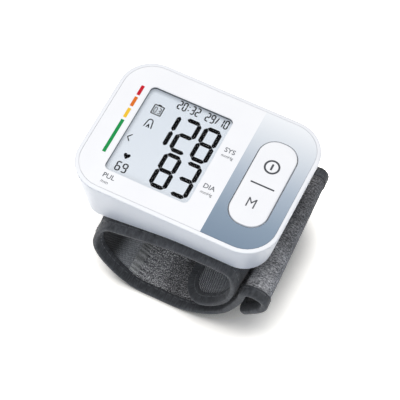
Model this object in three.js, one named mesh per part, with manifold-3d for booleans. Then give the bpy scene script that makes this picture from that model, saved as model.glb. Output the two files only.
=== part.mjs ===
// Wrist blood pressure monitor: a moulded housing with a display and a rocker key, on a preformed cuff.
// Millimetres, +Z up, +X to the right of the display, +Y to its upper edge.
// The origin is on the table, under the middle of the housing.
import * as THREE from 'three';
import { mergeVertices } from 'three/addons/utils/BufferGeometryUtils.js';
import Module from 'manifold-3d';

const wasm = await Module();
wasm.setup();

// Clearances
const SEAM = 0.15; // visible joint lines and nested layers
const CLEARANCE = 0.3; // loose pieces
const SEAT = 0.05; // flat faces that stand on each other

// Housing
const HOUSING_LENGTH = 84;
const HOUSING_WIDTH = 62;
const HOUSING_CORNER = 14;
const WALL_DRAFT = 0.165; // the walls lean in by this much per millimetre of depth
const SHALLOW_DEPTH = 17.4; // depth under the right half
const SADDLE_SLOPE = 0.27; // fall of the underside towards the left end
const SADDLE_BEND_X = 4; // where that fall starts
const SADDLE_BEND_LENGTH = 5;
const SEAT_HEIGHT = 49.6; // the shallow underside above the table
const SHELL_WALL = 2;
const FACE_WALL = 2.2;
const RIM_WIDTH = 1.8;
const RIM_ROUND = 0.8;
const COVER_WALL = 2;

// Face panel and display
const PANEL_THICKNESS = 0.5;
const WINDOW_LENGTH = 34.8;
const WINDOW_WIDTH = 41.2;
const WINDOW_CORNER = 2.2;
const WINDOW_Y = -0.5;
const GASKET_WALL = 0.8;
const GASKET_HEIGHT = 0.8;
const PANE_THICKNESS = 0.8;
const PANE_LAP = 0.6; // the pane reaches this far under the gasket
const LCD_LAP = 1.6; // the display cell reaches this far past the window
const LCD_THICKNESS = 1.8;
const HOLDER_WALL = 0.9;
const HOLDER_LEDGE = 1.2;
const STRIP_WIDTH = 2;
const STRIP_HEIGHT = 2.7;
const STRIP_INSET = 1.5;

// Board
const BOARD_THICKNESS = 1.2;
const BOARD_EDGE = 0.9; // gap from the board to the walls
const CHIP_SIZE = 10;
const CHIP_HEIGHT = 1.1;
const CHIP_X = -2;
const SENSOR_SIZE = 7;
const SENSOR_HEIGHT = 3.6;
const SENSOR_GAP = 3.7; // from the pump to the sensor
const SENSOR_PORT_RADIUS = 1;
const SENSOR_PORT_LENGTH = 1.2;
const SENSOR_PORT_RISE = 1.3; // port above the sensor's lower face

// Rocker key
const KEY_LENGTH = 38.6;
const KEY_WIDTH = 15.3;
const KEY_CORNER = 6.8;
const KEY_Y = -0.3;
const KEY_PROUD = 0.5;
const KEY_ROUND = 0.6;
const KEY_GAP = 0.35;
const KEY_SKIN = 1.4;
const KEY_WALL = 1.5;
const KEY_FLANGE = 1;
const KEY_LIFT = 0.9; // free travel of the flange under the face
const KEY_FLANGE_HEIGHT = 0.8;
const KEY_PIVOT_RISE = 2.2; // pivot above the board
const KEY_PIN_RADIUS = 0.8;
const KEY_PIN_CLEARANCE = 0.1;
const KEY_EAR_THICKNESS = 1.4;
const KEY_EAR_RADIUS = 1.7;
const KEY_CRADLE_WIDTH = 6.8;
const KEY_CRADLE_LENGTH = 3.2;
const KEY_CRADLE_CROWN = 0.7;
const KEY_PUSHER_OFFSET = 12;
const KEY_PUSHER_RADIUS = 1.8;
const SWITCH_SIZE = 6;
const SWITCH_BODY = 1.2;
const SWITCH_STEM = 0.6;
const SWITCH_STEM_RADIUS = 1.6;
const SWITCH_TRAVEL = 0.5; // free travel from the pusher to the stem

// Air system, in a column between the display and the key
const PUMP_WIDTH = 9.4;
const PUMP_ROOM = 1; // above the pump, under the face
const DISPLAY_TO_PUMP = 0.25;
const PUMP_TO_KEY = 0.55;
const LEFT_SHARE = 0.613; // share of the face's free length that lies left of the display
const MOTOR_LENGTH = 15;
const SHAFT_RADIUS = 0.75;
const SHAFT_CLEARANCE = 0.08;
const SHAFT_IN_MOTOR = 4;
const HEAD_LENGTH = 11;
const HEAD_WALL = 1.4;
const CRANK_RADIUS = 2.4;
const CRANK_THROW = 0.8;
const CRANK_THICKNESS = 2.5;
const CRANK_CHAMBER = 5.5;
const PORT_RADIUS = 1;
const PORT_LENGTH = 1.6;
const MANIFOLD_SIZE = 5.4;
const VALVE_LENGTH = 10;
const VALVE_RADIUS = 4.4;
const VALVE_YOKE_INSET = 1;
const NIPPLE_RADIUS = 1.6;
const NIPPLE_BORE = 0.8;
const NIPPLE_FLANGE = 2.4;
const NIPPLE_FLANGE_HEIGHT = 0.8;
const HOSE_RADIUS = 1.3;

// Battery compartment, two AAA cells side by side
const CELL_RADIUS = 5.25;
const CELL_SIDE_ROOM = 8.75; // from the housing's sides to the ends of the cells
const CELL_NUB_RADIUS = 1.9;
const CELL_NUB_LENGTH = 0.8;
const CELL_SPACING = 0.3;
const CELL_LEFT_ROOM = 11.6; // from the housing's left end to the middle of the first cell
const TRAY_BOARD_GAP = 1.45;
const CONTACT_THICKNESS = 0.4;
const CONTACT_WIDTH = 5;
const CONTACT_HEIGHT = 7;
const SPRING_LENGTH = 2.4;
const SPRING_WIRE = 0.25;
const SPRING_WIDE = 3.2;
const SPRING_NARROW = 1.6;
const SPRING_TURNS = 3;
const TRAY_WALL = 1;
const DOOR_SIDE_ROOM = 8.1; // from the housing's sides to the door
const DOOR_ABOVE = 6.8; // from the middle of the cells
const DOOR_BELOW = 8;
const DOOR_WALL = 1.6;
const DOOR_SEAM = 0.2;
const GRIP_RIBS = 4;
const GRIP_PITCH = 2;
const GRIP_LENGTH = 12;
const GRIP_HEIGHT = 0.5;
const CRADLE_RIBS = 3;
const CRADLE_RIB_PITCH = 14;
const CRADLE_RIB = 1.4;
const CRADLE_RIB_DROP = 1; // rib tops below the middle of the cells

// Case screws
const SCREW_TRAY_GAP = 0.65; // from the tray to the left pads
const SCREW_END_ROOM = 11.5; // from the housing's right end
const SCREW_SIDE_ROOM = 9; // from the housing's sides
const BOSS_RADIUS = 2.4;
const BOSS_WEB = 1.6; // web from each boss to the side wall
const SCREW_RADIUS = 1;
const SCREW_HEAD_RADIUS = 2.2;
const SCREW_HEAD_HEIGHT = 1.1;
const SCREW_TIP_ROOM = 1.3; // from the board to the tips
const SCREW_SLOT_LENGTH = 2.4;
const SCREW_SLOT_WIDTH = 0.5;
const SCREW_RECESS = 1.1; // head below the sloping underside
const SCREW_PAD = 1.6; // extra height of the cover round each screw
const SCREW_PAD_RADIUS = 3.4;

// Cuff: layers from the outside in
const CUFF_WIDTH = 62;
const COVER_FABRIC = 0.9;
const STIFFENER = 0.6;
const BLADDER = 0.8;
const LINING = 0.65;
const BINDING_WIDTH = 4.2;
const BINDING_PROUD = 0.4;
const BINDING_ROUND = 1.1;
const HOUSING_GAP = 0.9; // from the housing's underside to the cuff's cover
const TONGUE_CORNER = 12;
const TONGUE_END_X = 8;
const TONGUE_END_Z = 8.4;
const TONGUE_SLOPE = 3; // degrees
const LOBE_RIGHT_X = 31.9;
const LOBE_RIGHT_DROP = 13.6; // widest point of the right lobe below the housing's seat
const LOBE_TOP_X = 24;
const LOBE_LEFT_X = -30.4;
const LOBE_LEFT_Z = 23.5;
const LOBE_LEFT_TOP_X = -22;
const SOLE_LEFT_X = -7; // flat stretch that stands on the table
const SOLE_RIGHT_X = 4;
const SEAM_X = -16; // where the strap is sewn to the padded cuff

// Strap
const STRAP_WIDTH = 64;
const STRAP_SHIFT_Y = 1;
const STRAP_THICKNESS = 1.6;
const STRAP_BINDING_PROUD = 0.25;
const STRAP_BINDING_ROUND = 0.6;
const RISER_INSET = 2.2; // where the strap starts to climb, inside the lobe's widest point
const RISER_Z = 16.2;
const RISER_SLOPE = 57; // degrees
const ROLL_OUTSET = 7.1; // middle of the roll outside the lobe's widest point
const ROLL_Z = 34.2;
const ROLL_RADIUS = 2.6;
const FLAP_END_INSET = 6.1; // free end inside the middle of the roll
const FLAP_END_Z = 18.2;
const FLAP_END_SLOPE = -120; // degrees
const FLAP_CORNER = 6;
const PATCH_THICKNESS = 0.45;
const PATCH_MARGIN = 8; // from the strap's sides to the patches
const HOOK_LENGTH = 9;
const HOOK_END_MARGIN = 3;
const LOOP_LENGTH = 13;

// Working resolution
const CORNER_STEPS = 10;
const ROUND_SIDES = 20;
const UNDERSIDE_STEP = 3;
const BAND_STEP = 7; // longest stretch between two stations of a band
const BAND_TURN = 9; // largest turn between two stations, degrees
const SEAT_STEPS = 7;
const CORNER_BAND_STEPS = 5;
const WRAP_SAMPLES = 700;
const HEADING_SAMPLES = 2; // samples on each side that set the path's direction
const OVERCUT = 1; // how far a cutting shape runs past the face it opens

// Values that follow from the sizes above
const FACE_Z = SEAT_HEIGHT + SHALLOW_DEPTH;
const PANEL_LENGTH = HOUSING_LENGTH - 2 * RIM_WIDTH;
const PANEL_WIDTH = HOUSING_WIDTH - 2 * RIM_WIDTH;
const PANEL_CORNER = HOUSING_CORNER - RIM_WIDTH;
const GASKET_TOP = PANEL_THICKNESS + 2 * SEAT;
const PANE_TOP = GASKET_TOP + GASKET_HEIGHT + SEAT;
const LCD_TOP = Math.max(PANE_TOP + PANE_THICKNESS, FACE_WALL) + SEAT;
const LCD_BOTTOM = LCD_TOP + LCD_THICKNESS;
const LCD_LENGTH = WINDOW_LENGTH + 2 * LCD_LAP;
const LCD_WIDTH = WINDOW_WIDTH + 2 * LCD_LAP;
const BOARD_DEPTH = LCD_BOTTOM + STRIP_HEIGHT;
const BOARD_BOTTOM = BOARD_DEPTH + BOARD_THICKNESS;

// Display, pump and key stand side by side along the face
const HOLDER_LENGTH = LCD_LENGTH + 2 * (SEAM + HOLDER_WALL);
const FLANGE_WIDTH = KEY_WIDTH + 2 * KEY_FLANGE;
const ROW_LENGTH = HOLDER_LENGTH + DISPLAY_TO_PUMP + PUMP_WIDTH + PUMP_TO_KEY + FLANGE_WIDTH;
const ROW_START = LEFT_SHARE * (HOUSING_LENGTH - ROW_LENGTH) - HOUSING_LENGTH / 2;
const WINDOW_X = ROW_START + HOLDER_LENGTH / 2;
const PUMP_X = ROW_START + HOLDER_LENGTH + DISPLAY_TO_PUMP + PUMP_WIDTH / 2;
const KEY_X = ROW_START + ROW_LENGTH - FLANGE_WIDTH / 2;
const KEY_FLANGE_DEPTH = FACE_WALL + KEY_LIFT;
const KEY_PIVOT_DEPTH = BOARD_DEPTH - KEY_PIVOT_RISE;

// Depth of the housing's underside below the face: level at the right, falling towards the left end
function undersideDepth(x) {
  const run = x - SADDLE_BEND_X;
  return SHALLOW_DEPTH + (SADDLE_SLOPE * (Math.hypot(run, SADDLE_BEND_LENGTH) - run)) / 2;
}

const PUMP_BOTTOM = undersideDepth(PUMP_X + PUMP_WIDTH / 2) - COVER_WALL - CLEARANCE;
const PUMP_HEIGHT = PUMP_BOTTOM - FACE_WALL - PUMP_ROOM;
const PUMP_DEPTH = PUMP_BOTTOM - PUMP_HEIGHT / 2;
const COLUMN_LENGTH = MOTOR_LENGTH + SEAT + HEAD_LENGTH + SEAM + MANIFOLD_SIZE + SEAM + VALVE_LENGTH;
const PUMP_FRONT_Y = -COLUMN_LENGTH / 2;
const MOTOR_END_Y = PUMP_FRONT_Y + MOTOR_LENGTH;
const HEAD_START_Y = MOTOR_END_Y + SEAT;
const HEAD_END_Y = HEAD_START_Y + HEAD_LENGTH;
const MANIFOLD_Y = HEAD_END_Y + SEAM + MANIFOLD_SIZE / 2;
const VALVE_START_Y = MANIFOLD_Y + MANIFOLD_SIZE / 2 + SEAM;
const SENSOR_X = PUMP_X + PUMP_WIDTH / 2 + SENSOR_GAP + SENSOR_SIZE / 2;
const SENSOR_Y = MANIFOLD_Y;

const CELL_LENGTH = HOUSING_WIDTH - 2 * CELL_SIDE_ROOM;
const CELL_PITCH = 2 * CELL_RADIUS + CELL_SPACING;
const CELL_FIRST_X = CELL_LEFT_ROOM - HOUSING_LENGTH / 2;
const TRAY_TOP = BOARD_BOTTOM + TRAY_BOARD_GAP;
const CELL_DEPTH = TRAY_TOP + TRAY_WALL + CLEARANCE + CELL_RADIUS;
const TRAY_RIGHT = CELL_FIRST_X + CELL_PITCH + CELL_RADIUS + CLEARANCE + TRAY_WALL;
const BAY_HALF = (CELL_LENGTH + SPRING_LENGTH + 2 * SEAM) / 2; // from the middle to each contact plate
const TRAY_HALF = BAY_HALF + CONTACT_THICKNESS + SEAT;
const DOOR_HALF_WIDTH = HOUSING_WIDTH / 2 - DOOR_SIDE_ROOM;
const DOOR_TOP = CELL_DEPTH - DOOR_ABOVE;
const DOOR_BOTTOM = CELL_DEPTH + DOOR_BELOW;

const SCREW_LEFT_X = TRAY_RIGHT + SCREW_PAD_RADIUS + SCREW_TRAY_GAP;
const SCREW_RIGHT_X = HOUSING_LENGTH / 2 - SCREW_END_ROOM;
const SCREW_Y = HOUSING_WIDTH / 2 - SCREW_SIDE_ROOM;
const SCREW_SINK = SCREW_RECESS + SCREW_HEAD_HEIGHT;
const SCREW_LENGTH = undersideDepth(SCREW_RIGHT_X) - SCREW_SINK - BOARD_BOTTOM - SCREW_TIP_ROOM;

const CUFF_THICKNESS = COVER_FABRIC + STIFFENER + BLADDER + LINING + 3 * SEAM;
const LOBE_RIGHT_Z = SEAT_HEIGHT - LOBE_RIGHT_DROP;
const RISER_X = LOBE_RIGHT_X - RISER_INSET;
const ROLL_X = LOBE_RIGHT_X + ROLL_OUTSET;
const FLAP_END_X = ROLL_X - FLAP_END_INSET;

// Solids and meshes

function turnedOut(geometry) {
  const corner = geometry.attributes.position;
  const index = geometry.index.array;
  const a = new THREE.Vector3();
  const b = new THREE.Vector3();
  const c = new THREE.Vector3();
  let volume = 0;
  for (let k = 0; k < index.length; k += 3) {
    a.fromBufferAttribute(corner, index[k]);
    b.fromBufferAttribute(corner, index[k + 1]);
    c.fromBufferAttribute(corner, index[k + 2]);
    volume += a.dot(b.cross(c));
  }
  if (volume < 0) geometry.setIndex(Array.from(index).reverse());
  return geometry;
}

// Closed skin over a row of convex rings with equal point counts
function skin(rings) {
  const count = rings[0].length;
  const index = [];
  for (let row = 0; row < rings.length - 1; row += 1) {
    for (let k = 0; k < count; k += 1) {
      const a = row * count + k;
      const b = row * count + ((k + 1) % count);
      index.push(a, b, b + count, a, b + count, a + count);
    }
  }
  const last = (rings.length - 1) * count;
  for (let k = 1; k < count - 1; k += 1) {
    index.push(0, k + 1, k, last, last + k, last + k + 1);
  }
  const geometry = new THREE.BufferGeometry();
  const corners = rings.flat().flatMap((point) => point.toArray());
  geometry.setAttribute('position', new THREE.Float32BufferAttribute(corners, 3));
  geometry.setIndex(index);
  return turnedOut(geometry);
}

function toSolid(geometry) {
  const bare = geometry.clone();
  bare.deleteAttribute('normal');
  bare.deleteAttribute('uv');
  const merged = mergeVertices(bare);
  const mesh = new wasm.Mesh({
    numProp: 3,
    vertProperties: new Float32Array(merged.attributes.position.array),
    triVerts: new Uint32Array(merged.index.array),
  });
  return new wasm.Manifold(mesh);
}

function toGeometry(solid) {
  const mesh = solid.getMesh();
  const geometry = new THREE.BufferGeometry();
  geometry.setAttribute('position', new THREE.BufferAttribute(new Float32Array(mesh.vertProperties), 3));
  geometry.setIndex(new THREE.BufferAttribute(new Uint32Array(mesh.triVerts), 1));
  return geometry;
}

function joined(first, ...others) {
  return others.reduce((whole, other) => whole.add(other), first);
}

function cut(first, ...others) {
  return others.reduce((whole, other) => whole.subtract(other), first);
}

function block(x0, x1, y0, y1, z0, z1) {
  const box = new THREE.BoxGeometry(x1 - x0, y1 - y0, z1 - z0);
  box.translate((x0 + x1) / 2, (y0 + y1) / 2, (z0 + z1) / 2);
  return toSolid(box);
}

// Round bars along the three axes
function barZ(x, y, z0, z1, radius) {
  const bar = new THREE.CylinderGeometry(radius, radius, z1 - z0, ROUND_SIDES);
  bar.rotateX(Math.PI / 2);
  bar.translate(x, y, (z0 + z1) / 2);
  return toSolid(bar);
}

function barY(x, z, y0, y1, radius) {
  const bar = new THREE.CylinderGeometry(radius, radius, y1 - y0, ROUND_SIDES);
  bar.translate(x, (y0 + y1) / 2, z);
  return toSolid(bar);
}

function barX(y, z, x0, x1, radius) {
  const bar = new THREE.CylinderGeometry(radius, radius, x1 - x0, ROUND_SIDES);
  bar.rotateZ(Math.PI / 2);
  bar.translate((x0 + x1) / 2, y, z);
  return toSolid(bar);
}

// Ring of points round a rounded rectangle at one height
function roundedRing(length, width, radius, z, x = 0, y = 0) {
  const ring = [];
  const corners = [[1, 1], [-1, 1], [-1, -1], [1, -1]];
  corners.forEach(([sideX, sideY], quarter) => {
    for (let k = 0; k <= CORNER_STEPS; k += 1) {
      const angle = ((quarter + k / CORNER_STEPS) * Math.PI) / 2;
      const cx = x + sideX * (length / 2 - radius);
      const cy = y + sideY * (width / 2 - radius);
      ring.push(new THREE.Vector3(cx + radius * Math.cos(angle), cy + radius * Math.sin(angle), z));
    }
  });
  return ring;
}

function roundedPlate(length, width, radius, top, bottom, x = 0, y = 0) {
  return toSolid(skin([bottom, top].map((depth) => roundedRing(length, width, radius, -depth, x, y))));
}

// Solid between two positions in Y with a side outline in X and Z
function sideSlab(shape, y0, y1) {
  const slab = new THREE.ExtrudeGeometry(shape, { depth: y1 - y0, bevelEnabled: false });
  slab.rotateX(Math.PI / 2);
  slab.translate(0, y1, 0);
  return toSolid(slab);
}

// Housing, modelled with its face at z = 0 and depth downwards

const DEEPEST = undersideDepth(-HOUSING_LENGTH / 2) + SHELL_WALL;

// Outline of the leaning walls at a depth, moved inwards by an inset
function wallRing(depth, inset) {
  const lean = inset + WALL_DRAFT * depth;
  return roundedRing(HOUSING_LENGTH - 2 * lean, HOUSING_WIDTH - 2 * lean, HOUSING_CORNER - lean, -depth);
}

function wallSolid(inset, top) {
  return toSolid(skin([wallRing(top, inset), wallRing(DEEPEST, inset)]));
}

// Everything over a surface that lies a height above the underside
function aboveUnderside(height) {
  const half = HOUSING_LENGTH / 2 + UNDERSIDE_STEP;
  const steps = Math.ceil((2 * half) / UNDERSIDE_STEP);
  const outline = new THREE.Shape();
  outline.moveTo(-half, SHELL_WALL);
  for (let k = 0; k <= steps; k += 1) {
    const x = -half + (2 * half * k) / steps;
    outline.lineTo(x, height - undersideDepth(x));
  }
  outline.lineTo(half, SHELL_WALL);
  return sideSlab(outline, -HOUSING_WIDTH, HOUSING_WIDTH);
}

function keyPlate(grow, top, bottom) {
  const length = KEY_LENGTH + 2 * grow;
  return roundedPlate(KEY_WIDTH + 2 * grow, length, KEY_CORNER + grow, top, bottom, KEY_X, KEY_Y);
}

function windowPlate(grow, top, bottom) {
  const corner = WINDOW_CORNER + grow;
  const length = WINDOW_LENGTH + 2 * grow;
  return roundedPlate(length, WINDOW_WIDTH + 2 * grow, corner, top, bottom, WINDOW_X, WINDOW_Y);
}

function outerBody() {
  const rings = [0, 0.5, 1].map((share) => {
    const angle = (share * Math.PI) / 2;
    const depth = RIM_ROUND * (1 - Math.cos(angle));
    return wallRing(depth, RIM_ROUND * (1 - Math.sin(angle)));
  });
  return toSolid(skin([...rings, wallRing(DEEPEST, 0)]));
}

function doorBlock(inset) {
  const half = DOOR_HALF_WIDTH - inset;
  const right = -HOUSING_LENGTH / 2 + HOUSING_CORNER;
  return block(-HOUSING_LENGTH, right, -half, half, inset - DOOR_BOTTOM, -DOOR_TOP - inset);
}

const screwPlaces = [];
[SCREW_LEFT_X, SCREW_RIGHT_X].forEach((x) => {
  const seat = undersideDepth(x) - SCREW_SINK;
  [-SCREW_Y, SCREW_Y].forEach((y) => screwPlaces.push({ x, y, seat }));
});

function padTop(place) {
  return undersideDepth(place.x) - COVER_WALL - SCREW_PAD;
}

function frontShell() {
  const body = outerBody();
  const bosses = screwPlaces.map((place) => {
    const low = SEAM - padTop(place);
    const high = -BOARD_BOTTOM - CLEARANCE;
    const far = Math.sign(place.y) * HOUSING_WIDTH;
    const front = Math.min(place.y, far);
    const rear = Math.max(place.y, far);
    const web = block(place.x - BOSS_WEB / 2, place.x + BOSS_WEB / 2, front, rear, low, high);
    return barZ(place.x, place.y, low, high, BOSS_RADIUS).add(web).intersect(body);
  });
  const pilots = screwPlaces.map((place) => {
    const tip = place.seat - SCREW_LENGTH - CLEARANCE;
    return barZ(place.x, place.y, -DEEPEST, -tip, SCREW_RADIUS + SEAM);
  });
  const pocket = roundedPlate(PANEL_LENGTH, PANEL_WIDTH, PANEL_CORNER, -SHELL_WALL, PANEL_THICKNESS + SEAT);
  const walls = cut(
    body.intersect(aboveUnderside(0)),
    wallSolid(SHELL_WALL, FACE_WALL),
    pocket,
    windowPlate(GASKET_WALL + SEAM, 0, FACE_WALL + SHELL_WALL),
    keyPlate(KEY_GAP, 0, FACE_WALL + SHELL_WALL),
    doorBlock(0),
  );
  return cut(joined(walls, ...bosses), ...pilots);
}

function rearCover() {
  const inside = wallSolid(SHELL_WALL + SEAM, 0);
  const plate = aboveUnderside(0).subtract(aboveUnderside(COVER_WALL));
  const overPlate = aboveUnderside(COVER_WALL / 2);
  const pads = screwPlaces.map((place) =>
    barZ(place.x, place.y, -undersideDepth(place.x), -padTop(place), SCREW_PAD_RADIUS).intersect(overPlate));
  const ribs = [];
  for (let k = 0; k < CRADLE_RIBS; k += 1) {
    const y = (k - (CRADLE_RIBS - 1) / 2) * CRADLE_RIB_PITCH;
    const right = TRAY_RIGHT - TRAY_WALL - CLEARANCE;
    const half = CRADLE_RIB / 2;
    const rib = block(-HOUSING_LENGTH, right, y - half, y + half, -DEEPEST, -CELL_DEPTH - CRADLE_RIB_DROP);
    ribs.push(rib.intersect(overPlate));
  }
  const cells = [0, 1].map((k) => barY(
    CELL_FIRST_X + k * CELL_PITCH, -CELL_DEPTH, -HOUSING_WIDTH, HOUSING_WIDTH, CELL_RADIUS + CLEARANCE));
  const holes = screwPlaces.flatMap((place) => [
    barZ(place.x, place.y, -DEEPEST, 0, SCREW_RADIUS + CLEARANCE),
    barZ(place.x, place.y, -DEEPEST, -place.seat, SCREW_HEAD_RADIUS + CLEARANCE),
  ]);
  const doorRoom = doorBlock(-CLEARANCE);
  const nippleHole = barZ(PUMP_X, MANIFOLD_Y, -DEEPEST, 0, NIPPLE_RADIUS + SEAM);
  const whole = joined(plate, ...ribs, ...pads).intersect(inside);
  return cut(whole, ...cells, ...holes, nippleHole, doorRoom);
}

function caseScrew(place) {
  const head = barZ(place.x, place.y, -place.seat - SCREW_HEAD_HEIGHT, -place.seat - SEAT, SCREW_HEAD_RADIUS);
  const shankStart = -place.seat - SCREW_HEAD_HEIGHT / 2;
  const shank = barZ(place.x, place.y, shankStart, SCREW_LENGTH - place.seat, SCREW_RADIUS);
  const crossSlot = [0, Math.PI / 2].map((turn) => {
    const slot = new THREE.BoxGeometry(SCREW_SLOT_LENGTH, SCREW_SLOT_WIDTH, SCREW_HEAD_HEIGHT);
    slot.rotateZ(turn);
    slot.translate(place.x, place.y, -place.seat - SCREW_HEAD_HEIGHT);
    return toSolid(slot);
  });
  return cut(joined(head, shank), ...crossSlot);
}

function facePanel() {
  const length = PANEL_LENGTH - 2 * SEAM;
  const sheet = roundedPlate(length, PANEL_WIDTH - 2 * SEAM, PANEL_CORNER - SEAM, 0, PANEL_THICKNESS);
  return cut(sheet, windowPlate(0, -OVERCUT, FACE_WALL), keyPlate(KEY_GAP, -OVERCUT, FACE_WALL));
}

function displayGasket() {
  const bottom = GASKET_TOP + GASKET_HEIGHT;
  return windowPlate(GASKET_WALL, GASKET_TOP, bottom).subtract(windowPlate(0, 0, bottom + OVERCUT));
}

function displayWindow() {
  return windowPlate(PANE_LAP, PANE_TOP, PANE_TOP + PANE_THICKNESS);
}

function displayCell() {
  const left = WINDOW_X - LCD_LENGTH / 2;
  const front = WINDOW_Y - LCD_WIDTH / 2;
  return block(left, left + LCD_LENGTH, front, front + LCD_WIDTH, -LCD_BOTTOM, -LCD_TOP);
}

function displayHolder() {
  const x = LCD_LENGTH / 2 + SEAM;
  const y = LCD_WIDTH / 2 + SEAM;
  const top = -LCD_TOP - SEAM;
  const bottom = SEAT - BOARD_DEPTH;
  const frame = block(-x - HOLDER_WALL, x + HOLDER_WALL, -y - HOLDER_WALL, y + HOLDER_WALL, bottom, top);
  const ledgeLength = y - STRIP_INSET - STRIP_WIDTH - CLEARANCE;
  const ledges = [-1, 1].map((side) => {
    const outer = side * (x + HOLDER_WALL / 2);
    const inner = side * (x - HOLDER_LEDGE);
    const left = Math.min(outer, inner);
    const right = Math.max(outer, inner);
    return block(left, right, -ledgeLength, ledgeLength, bottom, -LCD_BOTTOM - SEAT);
  });
  const whole = joined(frame.subtract(block(-x, x, -y, y, bottom - OVERCUT, top + OVERCUT)), ...ledges);
  return whole.translate([WINDOW_X, WINDOW_Y, 0]);
}

// Elastomer strip that joins the display cell to the board, at the upper or lower edge
function contactStrip(side) {
  const outer = side * (LCD_WIDTH / 2 - STRIP_INSET);
  const inner = outer - side * STRIP_WIDTH;
  const half = LCD_LENGTH / 2 - STRIP_INSET;
  const front = WINDOW_Y + Math.min(outer, inner);
  const bottom = SEAT - BOARD_DEPTH;
  return block(WINDOW_X - half, WINDOW_X + half, front, front + STRIP_WIDTH, bottom, -LCD_BOTTOM - SEAT);
}

function mainBoard() {
  const lean = SHELL_WALL + BOARD_EDGE + WALL_DRAFT * BOARD_BOTTOM;
  const length = HOUSING_LENGTH - 2 * lean;
  const width = HOUSING_WIDTH - 2 * lean;
  const sheet = roundedPlate(length, width, HOUSING_CORNER - lean, BOARD_DEPTH, BOARD_BOTTOM);
  const half = PUMP_WIDTH / 2 + CLEARANCE;
  const end = VALVE_START_Y + VALVE_LENGTH + CLEARANCE;
  const front = PUMP_FRONT_Y - CLEARANCE;
  const under = -BOARD_BOTTOM - OVERCUT;
  const pumpSlot = block(PUMP_X - half, PUMP_X + half, front, end, under, OVERCUT - BOARD_DEPTH);
  return sheet.subtract(pumpSlot);
}

function processorChip() {
  const half = CHIP_SIZE / 2;
  const top = -BOARD_BOTTOM - SEAT;
  return block(CHIP_X - half, CHIP_X + half, -half, half, top - CHIP_HEIGHT, top);
}

const sensorBottom = BOARD_BOTTOM + SEAT + SENSOR_HEIGHT;
const sensorPortDepth = sensorBottom - SENSOR_PORT_RISE;
const sensorPortX = SENSOR_X - SENSOR_SIZE / 2 - SENSOR_PORT_LENGTH;

function pressureSensor() {
  const half = SENSOR_SIZE / 2;
  const top = -BOARD_BOTTOM - SEAT;
  const can = block(SENSOR_X - half, SENSOR_X + half, SENSOR_Y - half, SENSOR_Y + half, -sensorBottom, top);
  return can.add(barX(SENSOR_Y, -sensorPortDepth, sensorPortX, SENSOR_X, SENSOR_PORT_RADIUS));
}

// Hollow pill-shaped rocker with a retaining flange, two pushers and two ears on the pivot pin
function rockerKey() {
  const crown = [0, 0.5, 1].map((share) => {
    const angle = (share * Math.PI) / 2;
    const inset = KEY_ROUND * (1 - Math.sin(angle));
    const z = KEY_PROUD - KEY_ROUND * (1 - Math.cos(angle));
    return roundedRing(KEY_WIDTH - 2 * inset, KEY_LENGTH - 2 * inset, KEY_CORNER - inset, z, KEY_X, KEY_Y);
  });
  const flangeBottom = KEY_FLANGE_DEPTH + KEY_FLANGE_HEIGHT;
  const foot = roundedRing(KEY_WIDTH, KEY_LENGTH, KEY_CORNER, -flangeBottom, KEY_X, KEY_Y);
  const cap = toSolid(skin([...crown, foot]));
  const shell = cap.add(keyPlate(KEY_FLANGE, KEY_FLANGE_DEPTH, flangeBottom))
    .subtract(keyPlate(-KEY_WALL, KEY_SKIN, flangeBottom + OVERCUT));
  const stemTop = BOARD_DEPTH - SEAT - SWITCH_BODY - SWITCH_STEM;
  const pushers = [-1, 1].map((side) => barZ(
    KEY_X, KEY_Y + side * KEY_PUSHER_OFFSET, SWITCH_TRAVEL - stemTop, -KEY_SKIN / 2, KEY_PUSHER_RADIUS));
  const earInner = KEY_CRADLE_WIDTH / 2 + CLEARANCE;
  const ears = [-1, 1].map((side) => {
    const near = KEY_X + side * earInner;
    const far = near + side * KEY_EAR_THICKNESS;
    const left = Math.min(near, far);
    const right = Math.max(near, far);
    const front = KEY_Y - KEY_EAR_RADIUS;
    const web = block(left, right, front, KEY_Y + KEY_EAR_RADIUS, -KEY_PIVOT_DEPTH, -KEY_SKIN / 2);
    return web.add(barX(KEY_Y, -KEY_PIVOT_DEPTH, left, right, KEY_EAR_RADIUS));
  });
  const pinHole = barX(
    KEY_Y, -KEY_PIVOT_DEPTH, KEY_X - KEY_WIDTH / 2 + KEY_WALL, KEY_X + KEY_WIDTH / 2 - KEY_WALL,
    KEY_PIN_RADIUS + KEY_PIN_CLEARANCE);
  return joined(shell, ...pushers, ...ears).subtract(pinHole);
}

const pinHalf = KEY_CRADLE_WIDTH / 2 + CLEARANCE + KEY_EAR_THICKNESS + CLEARANCE;

function keyPivotPin() {
  return barX(KEY_Y, -KEY_PIVOT_DEPTH, KEY_X - pinHalf, KEY_X + pinHalf, KEY_PIN_RADIUS);
}

// Block on the board that carries the pivot pin between the key's ears
function keyCradle() {
  const half = KEY_CRADLE_WIDTH / 2;
  const top = KEY_PIN_RADIUS + KEY_PIN_CLEARANCE + KEY_CRADLE_CROWN - KEY_PIVOT_DEPTH;
  const front = KEY_Y - KEY_CRADLE_LENGTH / 2;
  const stand = block(KEY_X - half, KEY_X + half, front, front + KEY_CRADLE_LENGTH, SEAT - BOARD_DEPTH, top);
  const bore = KEY_PIN_RADIUS + KEY_PIN_CLEARANCE;
  return stand.subtract(barX(KEY_Y, -KEY_PIVOT_DEPTH, KEY_X - half - OVERCUT, KEY_X + half + OVERCUT, bore));
}

function pushSwitch(side) {
  const half = SWITCH_SIZE / 2;
  const y = KEY_Y + side * KEY_PUSHER_OFFSET;
  const bottom = SEAT - BOARD_DEPTH;
  const body = block(KEY_X - half, KEY_X + half, y - half, y + half, bottom, bottom + SWITCH_BODY);
  return body.add(barZ(KEY_X, y, bottom, bottom + SWITCH_BODY + SWITCH_STEM, SWITCH_STEM_RADIUS));
}

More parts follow.
